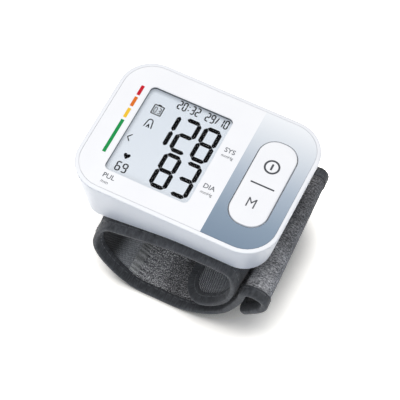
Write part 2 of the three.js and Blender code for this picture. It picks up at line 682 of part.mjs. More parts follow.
// Flat-sided round can, seen along Y
function flatCan(y0, y1) {
  const radius = PUMP_HEIGHT / 2;
  const half = PUMP_WIDTH / 2;
  const round = new THREE.CylinderGeometry(radius, radius, y1 - y0, 2 * ROUND_SIDES);
  round.translate(PUMP_X, (y0 + y1) / 2, -PUMP_DEPTH);
  const sides = block(PUMP_X - half, PUMP_X + half, y0, y1, -PUMP_DEPTH - radius, radius - PUMP_DEPTH);
  return toSolid(round).intersect(sides);
}

function pumpMotor() {
  const can = flatCan(PUMP_FRONT_Y, MOTOR_END_Y);
  const start = MOTOR_END_Y - SHAFT_IN_MOTOR - CLEARANCE;
  const end = MOTOR_END_Y + OVERCUT;
  return can.subtract(barY(PUMP_X, -PUMP_DEPTH, start, end, SHAFT_RADIUS + SHAFT_CLEARANCE));
}

// Shaft with its eccentric, which swings the diaphragms
function pumpCrank() {
  const shaftStart = MOTOR_END_Y - SHAFT_IN_MOTOR;
  const shaft = barY(PUMP_X, -PUMP_DEPTH, shaftStart, HEAD_START_Y + CRANK_THICKNESS, SHAFT_RADIUS);
  const start = HEAD_START_Y + CLEARANCE;
  return shaft.add(barY(PUMP_X, CRANK_THROW - PUMP_DEPTH, start, start + CRANK_THICKNESS, CRANK_RADIUS));
}

function pumpHead() {
  const can = flatCan(HEAD_START_Y, HEAD_END_Y);
  const room = CRANK_RADIUS + CRANK_THROW + CLEARANCE;
  const chamber = barY(PUMP_X, -PUMP_DEPTH, HEAD_START_Y - OVERCUT, HEAD_START_Y + CRANK_CHAMBER, room);
  const port = barY(PUMP_X, -PUMP_DEPTH, HEAD_END_Y - HEAD_WALL, HEAD_END_Y + PORT_LENGTH, PORT_RADIUS);
  return cut(can, chamber).add(port);
}

// Rubber block with ports to the pump, the valve, the sensor and the cuff
function airManifold() {
  const half = MANIFOLD_SIZE / 2;
  const z = -PUMP_DEPTH;
  const body = block(PUMP_X - half, PUMP_X + half, MANIFOLD_Y - half, MANIFOLD_Y + half, z - half, z + half);
  return cut(
    body,
    barY(PUMP_X, z, MANIFOLD_Y - half - OVERCUT, MANIFOLD_Y + half + OVERCUT, PORT_RADIUS + SEAM),
    barZ(PUMP_X, MANIFOLD_Y, z - half - OVERCUT, z, NIPPLE_RADIUS + SEAM),
  );
}

function exhaustValve() {
  const end = VALVE_START_Y + VALVE_LENGTH;
  const coil = barY(PUMP_X, -PUMP_DEPTH, VALVE_START_Y, end, VALVE_RADIUS);
  const yokeStart = VALVE_START_Y + VALVE_YOKE_INSET;
  const yokeEnd = end - VALVE_YOKE_INSET;
  const left = PUMP_X - VALVE_RADIUS;
  const yoke = block(left, PUMP_X + VALVE_RADIUS, yokeStart, yokeEnd, -PUMP_BOTTOM, -PUMP_DEPTH);
  const port = barY(PUMP_X, -PUMP_DEPTH, VALVE_START_Y - PORT_LENGTH, yokeStart, PORT_RADIUS);
  return joined(coil, yoke, port);
}

function sensorHose() {
  const start = new THREE.Vector3(PUMP_X + MANIFOLD_SIZE / 2 + SEAM, MANIFOLD_Y, -PUMP_DEPTH);
  const end = new THREE.Vector3(sensorPortX - SEAM, SENSOR_Y, -sensorPortDepth);
  const middle = (start.x + end.x) / 2;
  const route = new THREE.CubicBezierCurve3(
    start,
    new THREE.Vector3(middle, start.y, start.z),
    new THREE.Vector3(middle, end.y, end.z),
    end,
  );
  const section = new THREE.Shape().absarc(0, 0, HOSE_RADIUS, 0, 2 * Math.PI);
  const tube = new THREE.ExtrudeGeometry(section, { steps: 8, curveSegments: 5, extrudePath: route });
  return toSolid(tube);
}

const cuffTopZ = SEAT_HEIGHT + SHALLOW_DEPTH - undersideDepth(PUMP_X) - HOUSING_GAP;
const bladderTop = cuffTopZ - COVER_FABRIC - STIFFENER - 2 * SEAM;

// Spigot from the manifold through the rear cover into the bladder
function airNipple() {
  const top = -PUMP_DEPTH - PORT_RADIUS - CLEARANCE;
  const bottom = bladderTop - FACE_Z + 2 * SEAM;
  const innerFace = COVER_WALL - undersideDepth(PUMP_X);
  const stem = barZ(PUMP_X, MANIFOLD_Y, bottom, top, NIPPLE_RADIUS);
  const foot = innerFace + SEAM;
  const flange = barZ(PUMP_X, MANIFOLD_Y, foot, foot + NIPPLE_FLANGE_HEIGHT, NIPPLE_FLANGE);
  return stem.add(flange).subtract(barZ(PUMP_X, MANIFOLD_Y, bottom - OVERCUT, top + OVERCUT, NIPPLE_BORE));
}

// Open-sided box over the cells, seated on the rear cover
function batteryTray() {
  const left = -HOUSING_LENGTH;
  const half = TRAY_HALF + TRAY_WALL;
  const outside = block(left, TRAY_RIGHT, -half, half, -DEEPEST, -TRAY_TOP);
  const inner = block(
    left - OVERCUT, TRAY_RIGHT - TRAY_WALL, -TRAY_HALF, TRAY_HALF, -DEEPEST - OVERCUT, -TRAY_TOP - TRAY_WALL);
  const room = wallSolid(SHELL_WALL + CLEARANCE, 0).intersect(aboveUnderside(COVER_WALL + CLEARANCE));
  return outside.subtract(inner).intersect(room);
}

// AAA cell along Y; side is the way its raised pole points
function batteryCell(number, side) {
  const outline = [[0, 0], [CELL_RADIUS, 0], [CELL_RADIUS, CELL_LENGTH - CELL_NUB_LENGTH]];
  outline.push([CELL_NUB_RADIUS, CELL_LENGTH - CELL_NUB_LENGTH]);
  outline.push([CELL_NUB_RADIUS, CELL_LENGTH], [0, CELL_LENGTH]);
  const cell = new THREE.LatheGeometry(outline.map(([r, y]) => new THREE.Vector2(r, y)), ROUND_SIDES);
  cell.translate(0, SEAM + SPRING_LENGTH - BAY_HALF, 0);
  if (side < 0) cell.rotateZ(Math.PI);
  cell.translate(CELL_FIRST_X + number * CELL_PITCH, 0, -CELL_DEPTH);
  return toSolid(cell);
}

// Contact plate at one end of the bay, over one cell or joining both
function contactPlate(first, last, side) {
  const left = CELL_FIRST_X + first * CELL_PITCH - CONTACT_WIDTH / 2;
  const right = CELL_FIRST_X + last * CELL_PITCH + CONTACT_WIDTH / 2;
  const near = side * (BAY_HALF + SEAT);
  const far = side * (BAY_HALF + CONTACT_THICKNESS);
  const front = Math.min(near, far);
  const rear = Math.max(near, far);
  const half = CONTACT_HEIGHT / 2;
  return block(left, right, front, rear, -CELL_DEPTH - half, half - CELL_DEPTH);
}

// Conical contact spring between a plate and the flat end of a cell
function contactSpring(number, side) {
  const steps = SPRING_TURNS * 12;
  const rings = [];
  for (let k = 0; k <= steps; k += 1) {
    const share = k / steps;
    const angle = share * SPRING_TURNS * 2 * Math.PI;
    const radius = SPRING_WIDE + (SPRING_NARROW - SPRING_WIDE) * share;
    const rise = SPRING_WIRE + (SPRING_LENGTH - 2 * SPRING_WIRE) * share;
    const y = side * (BAY_HALF - rise);
    const ring = [];
    for (let s = 0; s < 5; s += 1) {
      const turn = (s / 5) * 2 * Math.PI;
      const reach = radius + SPRING_WIRE * Math.cos(turn);
      const z = reach * Math.sin(angle) - CELL_DEPTH;
      const x = CELL_FIRST_X + number * CELL_PITCH + reach * Math.cos(angle);
      ring.push(new THREE.Vector3(x, y + SPRING_WIRE * Math.sin(turn), z));
    }
    rings.push(ring);
  }
  return toSolid(skin(rings));
}

// Door in the left end wall, with grip ribs
function batteryDoor() {
  const wall = outerBody().subtract(wallSolid(DOOR_WALL, 0));
  const plate = wall.intersect(doorBlock(DOOR_SEAM));
  const ribs = [];
  for (let k = 0; k < GRIP_RIBS; k += 1) {
    const depth = (DOOR_TOP + DOOR_BOTTOM) / 2 + (k - (GRIP_RIBS - 1) / 2) * GRIP_PITCH;
    const face = -HOUSING_LENGTH / 2 + WALL_DRAFT * depth;
    const half = GRIP_PITCH / 4;
    const reach = GRIP_LENGTH / 2;
    ribs.push(block(face - GRIP_HEIGHT, face + DOOR_WALL / 2, -reach, reach, -depth - half, half - depth));
  }
  return joined(plate, ...ribs);
}

// Cuff and strap: one long side path in X and Z, from the tongue to the strap's free end.
// The path is the outer face of the band, and inward offsets are towards the wrist.

function housingSeat(x) {
  return FACE_Z - undersideDepth(x) - HOUSING_GAP;
}

// Smooth leg to a point, leaving and arriving at angles in degrees
function leg(path, x, z, leaving, arriving, fullness) {
  const from = path.currentPoint;
  const reach = fullness * Math.hypot(x - from.x, z - from.y);
  const out = THREE.MathUtils.degToRad(leaving);
  const into = THREE.MathUtils.degToRad(arriving);
  path.bezierCurveTo(
    from.x + reach * Math.cos(out), from.y + reach * Math.sin(out),
    x - reach * Math.cos(into), z - reach * Math.sin(into), x, z);
}

function wrapPath() {
  const path = new THREE.Path();
  const fall = 180 + THREE.MathUtils.radToDeg(Math.atan(SADDLE_SLOPE));
  const seatPoints = [];
  for (let k = 1; k <= SEAT_STEPS; k += 1) {
    const x = LOBE_TOP_X + ((LOBE_LEFT_TOP_X - LOBE_TOP_X) * k) / SEAT_STEPS;
    seatPoints.push(new THREE.Vector2(x, housingSeat(x)));
  }
  path.moveTo(TONGUE_END_X, TONGUE_END_Z);
  leg(path, LOBE_RIGHT_X, LOBE_RIGHT_Z, TONGUE_SLOPE, 90, 0.39);
  leg(path, LOBE_TOP_X, housingSeat(LOBE_TOP_X), 90, 180, 0.45);
  path.splineThru(seatPoints);
  leg(path, LOBE_LEFT_X, LOBE_LEFT_Z, fall, 270, 0.3);
  leg(path, SOLE_LEFT_X, 0, 270, 360, 0.34);
  path.lineTo(SOLE_RIGHT_X, 0);
  leg(path, RISER_X, RISER_Z, 0, RISER_SLOPE, 0.35);
  leg(path, ROLL_X - ROLL_RADIUS, ROLL_Z, RISER_SLOPE, 90, 0.35);
  path.absarc(ROLL_X, ROLL_Z, ROLL_RADIUS, Math.PI, 0, true);
  leg(path, FLAP_END_X, FLAP_END_Z, -90, FLAP_END_SLOPE, 0.35);
  return path;
}

const wrapPoints = wrapPath().getSpacedPoints(WRAP_SAMPLES);
const wrapLength = wrapPath().getLength();

// Point and inward normal of the path at a distance along it
function wrapAt(distance) {
  const place = THREE.MathUtils.clamp((distance / wrapLength) * WRAP_SAMPLES, 0, WRAP_SAMPLES);
  const low = Math.min(Math.floor(place), WRAP_SAMPLES - 1);
  const point = wrapPoints[low].clone().lerp(wrapPoints[low + 1], place - low);
  const before = wrapPoints[Math.max(low - HEADING_SAMPLES, 0)];
  const after = wrapPoints[Math.min(low + 1 + HEADING_SAMPLES, WRAP_SAMPLES)];
  const along = after.clone().sub(before).normalize();
  return { point, inward: new THREE.Vector2(-along.y, along.x) };
}

// Distance along the path of the sample that a test prefers most
function distanceWhere(score) {
  let best = 0;
  wrapPoints.forEach((point, k) => {
    if (score(point, k) < score(wrapPoints[best], best)) best = k;
  });
  return (best / WRAP_SAMPLES) * wrapLength;
}

const seamDistance = distanceWhere((p) => Math.hypot(p.x - SEAM_X, p.y));
const foldDistance = distanceWhere((p) => Math.hypot(p.x - ROLL_X, p.y - ROLL_Z - ROLL_RADIUS));

// Stations of the whole path, closer together where it turns
function pathStations() {
  const list = [0];
  let last = 0;
  for (let k = 1; k < WRAP_SAMPLES; k += 1) {
    const distance = (k / WRAP_SAMPLES) * wrapLength;
    const turn = wrapAt(distance).inward.angleTo(wrapAt(last).inward);
    if (distance - last > BAND_STEP || turn > THREE.MathUtils.degToRad(BAND_TURN)) {
      list.push(distance);
      last = distance;
    }
  }
  return list;
}

const wrapStations = pathStations();

// Distances of a band's stations: those of the path, and more at a rounded end
function stations(start, end, startCorner, endCorner) {
  const list = wrapStations.filter((distance) => distance > start + CLEARANCE && distance < end - CLEARANCE);
  for (let k = 1; k < CORNER_BAND_STEPS; k += 1) {
    const reach = 1 - Math.cos((k / CORNER_BAND_STEPS) * (Math.PI / 2));
    if (startCorner > 0) list.push(start + startCorner * reach);
    if (endCorner > 0) list.push(end - endCorner * reach);
  }
  list.sort((a, b) => a - b);
  return [start, ...list, end];
}

function cornerInset(fromEnd, corner) {
  if (fromEnd >= corner) return 0;
  return corner - Math.sqrt(corner * corner - (corner - fromEnd) ** 2);
}

// Band of fabric between two distances, with limits across the width and offsets through the thickness
function band({ start, end, front, rear, outer, inner, startCorner = 0, endCorner = 0, round = 0 }) {
  const rings = stations(start, end, startCorner, endCorner).map((distance) => {
    const { point, inward } = wrapAt(distance);
    const inset = cornerInset(distance - start, startCorner) + cornerInset(end - distance, endCorner);
    const y0 = front + inset;
    const y1 = rear - inset;
    const corners = round > 0
      ? [[outer + round, y0], [outer, y0 + round], [outer, y1 - round], [outer + round, y1],
        [inner - round, y1], [inner, y1 - round], [inner, y0 + round], [inner - round, y0]]
      : [[outer, y0], [outer, y1], [inner, y1], [inner, y0]];
    return corners.map(([offset, y]) =>
      new THREE.Vector3(point.x + inward.x * offset, y, point.y + inward.y * offset));
  });
  return toSolid(skin(rings));
}

const cuffHalf = CUFF_WIDTH / 2;
const coreHalf = cuffHalf - BINDING_WIDTH;

// One layer of the padded cuff, between two depths from its outer face
function cuffLayer(outer, thickness) {
  return band({
    start: BINDING_WIDTH + SEAM,
    end: seamDistance,
    front: SEAM - coreHalf,
    rear: coreHalf - SEAM,
    outer,
    inner: outer + thickness,
    startCorner: TONGUE_CORNER - BINDING_WIDTH - SEAM,
  });
}

const nippleRoom = barZ(PUMP_X, MANIFOLD_Y, bladderTop + SEAM, FACE_Z, NIPPLE_RADIUS + CLEARANCE);
const stiffenerOffset = COVER_FABRIC + SEAM;
const bladderOffset = stiffenerOffset + STIFFENER + SEAM;
const liningOffset = bladderOffset + BLADDER + SEAM;

// Tape round the front edge, the rounded tongue and the rear edge of the padded cuff
function cuffBinding() {
  const tape = band({
    start: 0,
    end: seamDistance,
    front: -cuffHalf,
    rear: cuffHalf,
    outer: -BINDING_PROUD,
    inner: CUFF_THICKNESS + BINDING_PROUD,
    startCorner: TONGUE_CORNER,
    round: BINDING_ROUND,
  });
  const core = band({
    start: BINDING_WIDTH,
    end: seamDistance + CLEARANCE,
    front: -coreHalf,
    rear: coreHalf,
    outer: -BINDING_PROUD - OVERCUT,
    inner: CUFF_THICKNESS + BINDING_PROUD + OVERCUT,
    startCorner: TONGUE_CORNER - BINDING_WIDTH,
  });
  return tape.subtract(core);
}

const strapFront = STRAP_SHIFT_Y - STRAP_WIDTH / 2;
const strapRear = STRAP_SHIFT_Y + STRAP_WIDTH / 2;
const strapStart = seamDistance + CLEARANCE;
const webEnd = foldDistance - CLEARANCE / 2;
const flapStart = foldDistance + CLEARANCE / 2;

function strapWeb() {
  return band({
    start: strapStart,
    end: webEnd,
    front: strapFront + BINDING_WIDTH + SEAM,
    rear: strapRear - BINDING_WIDTH - SEAM,
    outer: 0,
    inner: STRAP_THICKNESS,
  });
}

function strapBinding(front) {
  return band({
    start: strapStart,
    end: webEnd,
    front,
    rear: front + BINDING_WIDTH,
    outer: 0,
    inner: STRAP_THICKNESS + 2 * STRAP_BINDING_PROUD,
    round: STRAP_BINDING_ROUND,
  });
}

function strapFlap() {
  return band({
    start: flapStart,
    end: wrapLength - BINDING_WIDTH - SEAM,
    front: strapFront + BINDING_WIDTH + SEAM,
    rear: strapRear - BINDING_WIDTH - SEAM,
    outer: 0,
    inner: STRAP_THICKNESS,
    endCorner: FLAP_CORNER - BINDING_WIDTH - SEAM,
  });
}

// Tape round the sides and the rounded end of the strap's free end
function flapBinding() {
  const tape = band({
    start: flapStart,
    end: wrapLength,
    front: strapFront,
    rear: strapRear,
    outer: -STRAP_BINDING_PROUD / 2,
    inner: STRAP_THICKNESS + STRAP_BINDING_PROUD,
    endCorner: FLAP_CORNER,
    round: STRAP_BINDING_ROUND,
  });
  const core = band({
    start: flapStart - CLEARANCE,
    end: wrapLength - BINDING_WIDTH,
    front: strapFront + BINDING_WIDTH,
    rear: strapRear - BINDING_WIDTH,
    outer: -STRAP_BINDING_PROUD - OVERCUT,
    inner: STRAP_THICKNESS + STRAP_BINDING_PROUD + OVERCUT,
    endCorner: FLAP_CORNER - BINDING_WIDTH,
  });
  return tape.subtract(core);
}

function patch(start, end) {
  return band({
    start,
    end,
    front: strapFront + PATCH_MARGIN,
    rear: strapRear - PATCH_MARGIN,
    outer: -SEAM - PATCH_THICKNESS,
    inner: -SEAM,
  });
}

const hookEnd = wrapLength - BINDING_WIDTH - HOOK_END_MARGIN;
const loopStart = distanceWhere((p) => Math.hypot(p.x - RISER_X, p.y - RISER_Z)) - LOOP_LENGTH / 2;

// Materials and assembly

const finishes = {
  whitePlastic: { color: 0xf2f3f6, roughness: 0.35, metalness: 0 },
  printedPanel: { color: 0xf6f5f8, roughness: 0.25, metalness: 0 },
  darkRubber: { color: 0x4a4d52, roughness: 0.8, metalness: 0 },
  clearPane: { color: 0xe9eef2, roughness: 0.05, metalness: 0 },
  displayGrey: { color: 0xe1e7eb, roughness: 0.2, metalness: 0 },
  paleRubber: { color: 0xd8dade, roughness: 0.7, metalness: 0 },
  boardGreen: { color: 0x1f5a3a, roughness: 0.5, metalness: 0 },
  chipBlack: { color: 0x1c1d20, roughness: 0.6, metalness: 0 },
  steel: { color: 0xb9bcc0, roughness: 0.3, metalness: 1 },
  cellJacket: { color: 0x3c4048, roughness: 0.4, metalness: 0.3 },
  darkFabric: { color: 0x4b4e54, roughness: 0.95, metalness: 0 },
  meshFabric: { color: 0x63656b, roughness: 0.95, metalness: 0 },
  mottledPile: { color: 0x6e6c70, roughness: 1, metalness: 0 },
  darkBinding: { color: 0x3a3d42, roughness: 0.9, metalness: 0 },
};

const monitor = new THREE.Group();
const housing = new THREE.Group();
const cuff = new THREE.Group();
housing.position.z = FACE_Z;
monitor.add(housing, cuff);

function place(group, name, finish, solid) {
  const geometry = toGeometry(solid);
  geometry.computeVertexNormals();
  const mesh = new THREE.Mesh(geometry, new THREE.MeshStandardMaterial(finishes[finish]));
  mesh.name = name;
  group.add(mesh);
}

place(housing, 'front_shell', 'whitePlastic', frontShell());
place(housing, 'rear_cover', 'whitePlastic', rearCover());
screwPlaces.forEach((spot, k) => place(housing, `case_screw_${k + 1}`, 'steel', caseScrew(spot)));
place(housing, 'face_panel', 'printedPanel', facePanel());
place(housing, 'display_gasket', 'darkRubber', displayGasket());
place(housing, 'display_window', 'clearPane', displayWindow());
place(housing, 'display_cell', 'displayGrey', displayCell());
place(housing, 'display_holder', 'whitePlastic', displayHolder());
place(housing, 'contact_strip_upper', 'paleRubber', contactStrip(1));
place(housing, 'contact_strip_lower', 'paleRubber', contactStrip(-1));
place(housing, 'main_board', 'boardGreen', mainBoard());
place(housing, 'processor_chip', 'chipBlack', processorChip());
place(housing, 'pressure_sensor', 'chipBlack', pressureSensor());
place(housing, 'rocker_key', 'whitePlastic', rockerKey());
place(housing, 'key_pivot_pin', 'steel', keyPivotPin());
place(housing, 'key_cradle', 'whitePlastic', keyCradle());
place(housing, 'power_switch', 'chipBlack', pushSwitch(1));
place(housing, 'memory_switch', 'chipBlack', pushSwitch(-1));
place(housing, 'pump_motor', 'steel', pumpMotor());
place(housing, 'pump_crank', 'steel', pumpCrank());
place(housing, 'pump_head', 'whitePlastic', pumpHead());
place(housing, 'air_manifold', 'darkRubber', airManifold());
place(housing, 'exhaust_valve', 'chipBlack', exhaustValve());
place(housing, 'sensor_hose', 'paleRubber', sensorHose());
place(housing, 'air_nipple', 'whitePlastic', airNipple());
place(housing, 'battery_tray', 'whitePlastic', batteryTray());
[1, -1].forEach((side, k) => {
  place(housing, `battery_cell_${k + 1}`, 'cellJacket', batteryCell(k, side));
  place(housing, `contact_spring_${k + 1}`, 'steel', contactSpring(k, -side));
});
place(housing, 'contact_link', 'steel', contactPlate(0, 1, 1));
place(housing, 'contact_plate_minus', 'steel', contactPlate(0, 0, -1));
place(housing, 'contact_plate_plus', 'steel', contactPlate(1, 1, -1));
place(housing, 'battery_door', 'whitePlastic', batteryDoor());

place(cuff, 'cuff_cover', 'darkFabric', cuffLayer(0, COVER_FABRIC).subtract(nippleRoom));
place(cuff, 'cuff_stiffener', 'chipBlack', cuffLayer(stiffenerOffset, STIFFENER).subtract(nippleRoom));
place(cuff, 'air_bladder', 'darkRubber', cuffLayer(bladderOffset, BLADDER));
place(cuff, 'cuff_lining', 'meshFabric', cuffLayer(liningOffset, LINING));
place(cuff, 'cuff_binding', 'darkBinding', cuffBinding());
place(cuff, 'strap_web', 'mottledPile', strapWeb());
place(cuff, 'strap_binding_front', 'darkBinding', strapBinding(strapFront));
place(cuff, 'strap_binding_rear', 'darkBinding', strapBinding(strapRear - BINDING_WIDTH));
place(cuff, 'strap_flap', 'mottledPile', strapFlap());
place(cuff, 'flap_binding', 'darkBinding', flapBinding());
place(cuff, 'hook_patch', 'chipBlack', patch(hookEnd - HOOK_LENGTH, hookEnd));
place(cuff, 'loop_patch', 'mottledPile', patch(loopStart, loopStart + LOOP_LENGTH));

export default monitor;
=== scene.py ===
import math

import bpy
import numpy as np
from mathutils import Matrix, Vector


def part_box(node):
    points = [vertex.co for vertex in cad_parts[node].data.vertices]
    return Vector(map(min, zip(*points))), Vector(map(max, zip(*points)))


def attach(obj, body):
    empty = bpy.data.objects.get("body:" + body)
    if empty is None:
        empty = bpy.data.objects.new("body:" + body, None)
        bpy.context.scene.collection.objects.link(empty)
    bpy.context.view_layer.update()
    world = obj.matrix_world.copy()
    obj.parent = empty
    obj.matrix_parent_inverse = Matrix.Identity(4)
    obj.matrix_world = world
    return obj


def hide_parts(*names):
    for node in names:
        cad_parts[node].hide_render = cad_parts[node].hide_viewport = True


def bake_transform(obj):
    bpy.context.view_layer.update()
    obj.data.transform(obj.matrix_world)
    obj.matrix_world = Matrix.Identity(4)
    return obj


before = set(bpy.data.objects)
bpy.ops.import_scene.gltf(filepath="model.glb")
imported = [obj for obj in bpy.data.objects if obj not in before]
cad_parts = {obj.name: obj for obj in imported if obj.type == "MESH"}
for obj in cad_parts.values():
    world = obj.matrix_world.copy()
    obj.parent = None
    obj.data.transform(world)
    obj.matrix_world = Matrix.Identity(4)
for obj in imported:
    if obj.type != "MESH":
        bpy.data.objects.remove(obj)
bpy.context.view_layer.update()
mm = 0.001  # the sizes below are written in millimetres
scene = bpy.context.scene
scene.view_settings.view_transform = "Standard"
bpy.ops.object.select_all(action="DESELECT")
print("frame loaded:", len(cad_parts), "solids")


# small tools for nodes

def tone(red, green, blue):
    # screen colour, 0 to 255, as the linear colour that a socket takes
    parts = [v / 255 for v in (red, green, blue)]
    linear = [v / 12.92 if v <= 0.04045 else ((v + 0.055) / 1.055) ** 2.4 for v in parts]
    return (*linear, 1)


black = (0, 0, 0, 1)
white = (1, 1, 1, 1)


def node(tree, kind, inputs=None, **settings):
    made = tree.nodes.new(kind)
    for name, value in settings.items():
        setattr(made, name, value)
    for name, value in (inputs or {}).items():
        socket = made.inputs[name]
        if isinstance(value, bpy.types.NodeSocket):
            tree.links.new(value, socket)
        else:
            socket.default_value = value
    return made


def newFinish(name, paint, *values, **settings):
    # a material whose nodes come from a paint function
    material = bpy.data.materials.new(name)
    material.use_nodes = True
    material.node_tree.nodes.clear()
    paint(material.node_tree, *values, **settings)
    return material


def endTree(tree, shader, kind="Material"):
    node(tree, "ShaderNodeOutput" + kind, {"Surface": shader.outputs[0]})


def surface(tree, inputs):
    endTree(tree, node(tree, "ShaderNodeBsdfPrincipled", inputs))


def objectPlace(tree):
    return node(tree, "ShaderNodeTexCoord").outputs["Object"]


def clothMap(tree):
    return node(tree, "ShaderNodeUVMap", uv_map="cloth").outputs["UV"]


def clothPlace(tree, turn=0, stretch=(1, 1, 1)):
    # millimetres along and across the cloth
    return node(tree, "ShaderNodeMapping", {
        "Vector": clothMap(tree),
        "Rotation": (0, 0, math.radians(turn)),
        "Scale": [v / mm for v in stretch],
    }).outputs["Vector"]


def axisOf(tree, place, way):
    return node(tree, "ShaderNodeSeparateXYZ", {0: place}).outputs[way]


def noise(tree, place, scale, detail=2, roughness=0.5):
    return node(tree, "ShaderNodeTexNoise", {
        "Vector": place, "Scale": scale, "Detail": detail, "Roughness": roughness,
    }).outputs["Fac"]


def wave(tree, place, scale, distortion=0, detail=2):
    return node(tree, "ShaderNodeTexWave", {
        "Vector": place, "Scale": scale, "Distortion": distortion, "Detail": detail,
    }).outputs[0]


def ramp(tree, value, *stops):
    made = node(tree, "ShaderNodeValToRGB", {"Fac": value})
    points = made.color_ramp.elements
    while len(points) < len(stops):
        points.new(0.5)
    for point, (place, colour) in zip(points, stops):
        point.position = place
        point.color = colour
    return made.outputs["Color"]


def mottled(tree, place, scale, detail, dark, light, span=(0.3, 0.7)):
    # two tones in soft patches
    return ramp(tree, noise(tree, place, scale, detail), *zip(span, (dark, light)))


def ranged(tree, value, low, high, start=0, end=1, **settings):
    # low at start and high at end
    return node(tree, "ShaderNodeMapRange", {
        "Value": value, "From Min": start, "From Max": end, "To Min": low, "To Max": high,
    }, **settings).outputs[0]


def mixed(tree, share, first, second, blend="MIX"):
    inputs = {0: share, 6: first, 7: second}  # 6 and 7 are the node's sockets for colours
    return node(tree, "ShaderNodeMix", inputs, data_type="RGBA", blend_type=blend).outputs[2]


def multiplied(tree, first, second):
    return mixed(tree, 1.0, first, second, "MULTIPLY")


def calculated(tree, operation, first, second):
    return node(tree, "ShaderNodeMath", {0: first, 1: second}, operation=operation).outputs[0]


def plus(tree, first, second):
    return calculated(tree, "ADD", first, second)


def times(tree, first, second):
    return calculated(tree, "MULTIPLY", first, second)


def bump(tree, height, strength, distance):
    return node(tree, "ShaderNodeBump", {
        "Height": height, "Strength": strength, "Distance": distance * mm,
    }).outputs["Normal"]


# small tools for pieces

def addObject(name, data):
    made = bpy.data.objects.new(name, data)
    scene.collection.objects.link(made)
    return made


def selectOnly(*pieces):
    bpy.ops.object.select_all(action="DESELECT")
    for piece in pieces:
        piece.select_set(True)
    bpy.context.view_layer.objects.active = pieces[0]


def joined(pieces):
    selectOnly(*pieces)
    if len(pieces) > 1:
        bpy.ops.object.join()
    return pieces[0]


def dress(piece, *materials):
    piece.data.materials.clear()
    for material in materials:
        piece.data.materials.append(material)


def pick(piece, kind, wanted):
    # selects the edges or polygons that are wanted, and nothing else
    mesh = piece.data
    for part in (mesh.vertices, mesh.edges, mesh.polygons):
        part.foreach_set("select", [False] * len(part))
    for item in getattr(mesh, kind):
        item.select = wanted(item)
    bpy.context.tool_settings.mesh_select_mode = [kind == name for name in ("vertices", "edges", "polygons")]


def turnOutward():
    # the faces of the active piece point out
    bpy.ops.object.mode_set(mode="EDIT")
    bpy.ops.mesh.select_all(action="SELECT")
    bpy.ops.mesh.normals_make_consistent(inside=False)
    bpy.ops.object.mode_set(mode="OBJECT")


def newPiece(name, points, faces, corners=None):
    mesh = bpy.data.meshes.new(name)
    mesh.from_pydata(points.reshape(-1, 3).tolist(), [], faces)
    if corners is not None:
        layer = mesh.uv_layers.new(name="cloth")
        layer.data.foreach_set("uv", np.array(corners, np.float32).ravel())
    piece = addObject(name, mesh)
    selectOnly(piece)
    turnOutward()
    return piece


def shadeRound(piece, angle=50):
    # edges that turn by more than the angle, in degrees, stay sharp
    selectOnly(piece)
    bpy.ops.object.shade_smooth_by_angle(angle=math.radians(angle))


# camera, floor and light

photoView = {
    "place": (133.522, -315.519, 633.455),
    "right": (0.89809, 0.43854, 0.03357),
    "up": (-0.39623, 0.77359, 0.49454),
    "back": (0.19090, -0.45744, 0.86851),
    "lens": 158.78,
    "sensor": 36,
    "clip": (0.05, 20),  # metres
}


def addCamera():
    lens = bpy.data.cameras.new("photoCamera")
    lens.sensor_width = photoView["sensor"]
    lens.lens = photoView["lens"]
    lens.clip_start, lens.clip_end = photoView["clip"]
    scene.camera = addObject("photoCamera", lens)
    axes = Matrix((photoView["right"], photoView["up"], photoView["back"])).transposed()
    scene.camera.matrix_world = Matrix.Translation(Vector(photoView["place"]) * mm) @ axes.to_4x4()


studio = {
    "floorSize": 8.0,  # metres, as the other lengths here
    "floorColour": tone(124, 140, 160),
    "floorSeen": (3.1, 3.0, 2.85, 1),  # brings the lit floor up to white where it is looked at
    # painted shadow: where it is looked at, the floor's colour darkens near what stands on it, up to
    # shadeReach away
    "shadeReach": 0.030,  # over which what stands on the floor darkens it
    "shadeDepth": 1.6,
    "ambient": tone(208, 213, 220),
    "ambientStrength": 0.4,
    "aim": (0, 0, 0.04),
    "key": {"place": (-0.35, 0.22, 2.2), "size": 2.2, "power": 32.5, "colour": (1, 0.985, 0.965)},
    "fill": {"place": (0.35, -1.65, 1.4), "size": 1.2, "power": 14, "colour": (0.94, 0.97, 1)},
}


def seenDirectly(tree):
    # 1 for rays from the camera and for what gloss and glass show
    path = node(tree, "ShaderNodeLightPath").outputs
    gloss = calculated(tree, "MAXIMUM", path["Is Glossy Ray"], path["Is Transmission Ray"])
    return calculated(tree, "MAXIMUM", path["Is Camera Ray"], gloss)


def paleFloor(tree):
    # painted shadow: ambient occlusion darkens the looked-at floor near what stands on it
    openness = node(tree, "ShaderNodeAmbientOcclusion", {"Distance": studio["shadeReach"]}).outputs["AO"]
    shade = calculated(tree, "POWER", openness, studio["shadeDepth"])
    shaded = mixed(tree, shade, black, studio["floorSeen"])
    seen = mixed(tree, seenDirectly(tree), studio["floorColour"], shaded)
    endTree(tree, node(tree, "ShaderNodeBsdfDiffuse", {"Color": seen}))


def addFloor():
    bpy.ops.mesh.primitive_plane_add(size=studio["floorSize"])
    floor = bpy.context.object
    floor.name = "floor"
    dress(floor, newFinish("paleFloor", paleFloor))


def addRoom():
    scene.world = bpy.data.worlds.new("softRoom")
    scene.world.use_nodes = True
    tree = scene.world.node_tree
    tree.nodes.clear()
    room = node(tree, "ShaderNodeBackground", {
        "Color": studio["ambient"], "Strength": studio["ambientStrength"],
    })
    plain = node(tree, "ShaderNodeBackground", {"Color": white, "Strength": 1})
    sky = node(tree, "ShaderNodeMixShader", {
        0: seenDirectly(tree), 1: room.outputs[0], 2: plain.outputs[0],
    })
    endTree(tree, sky, "World")


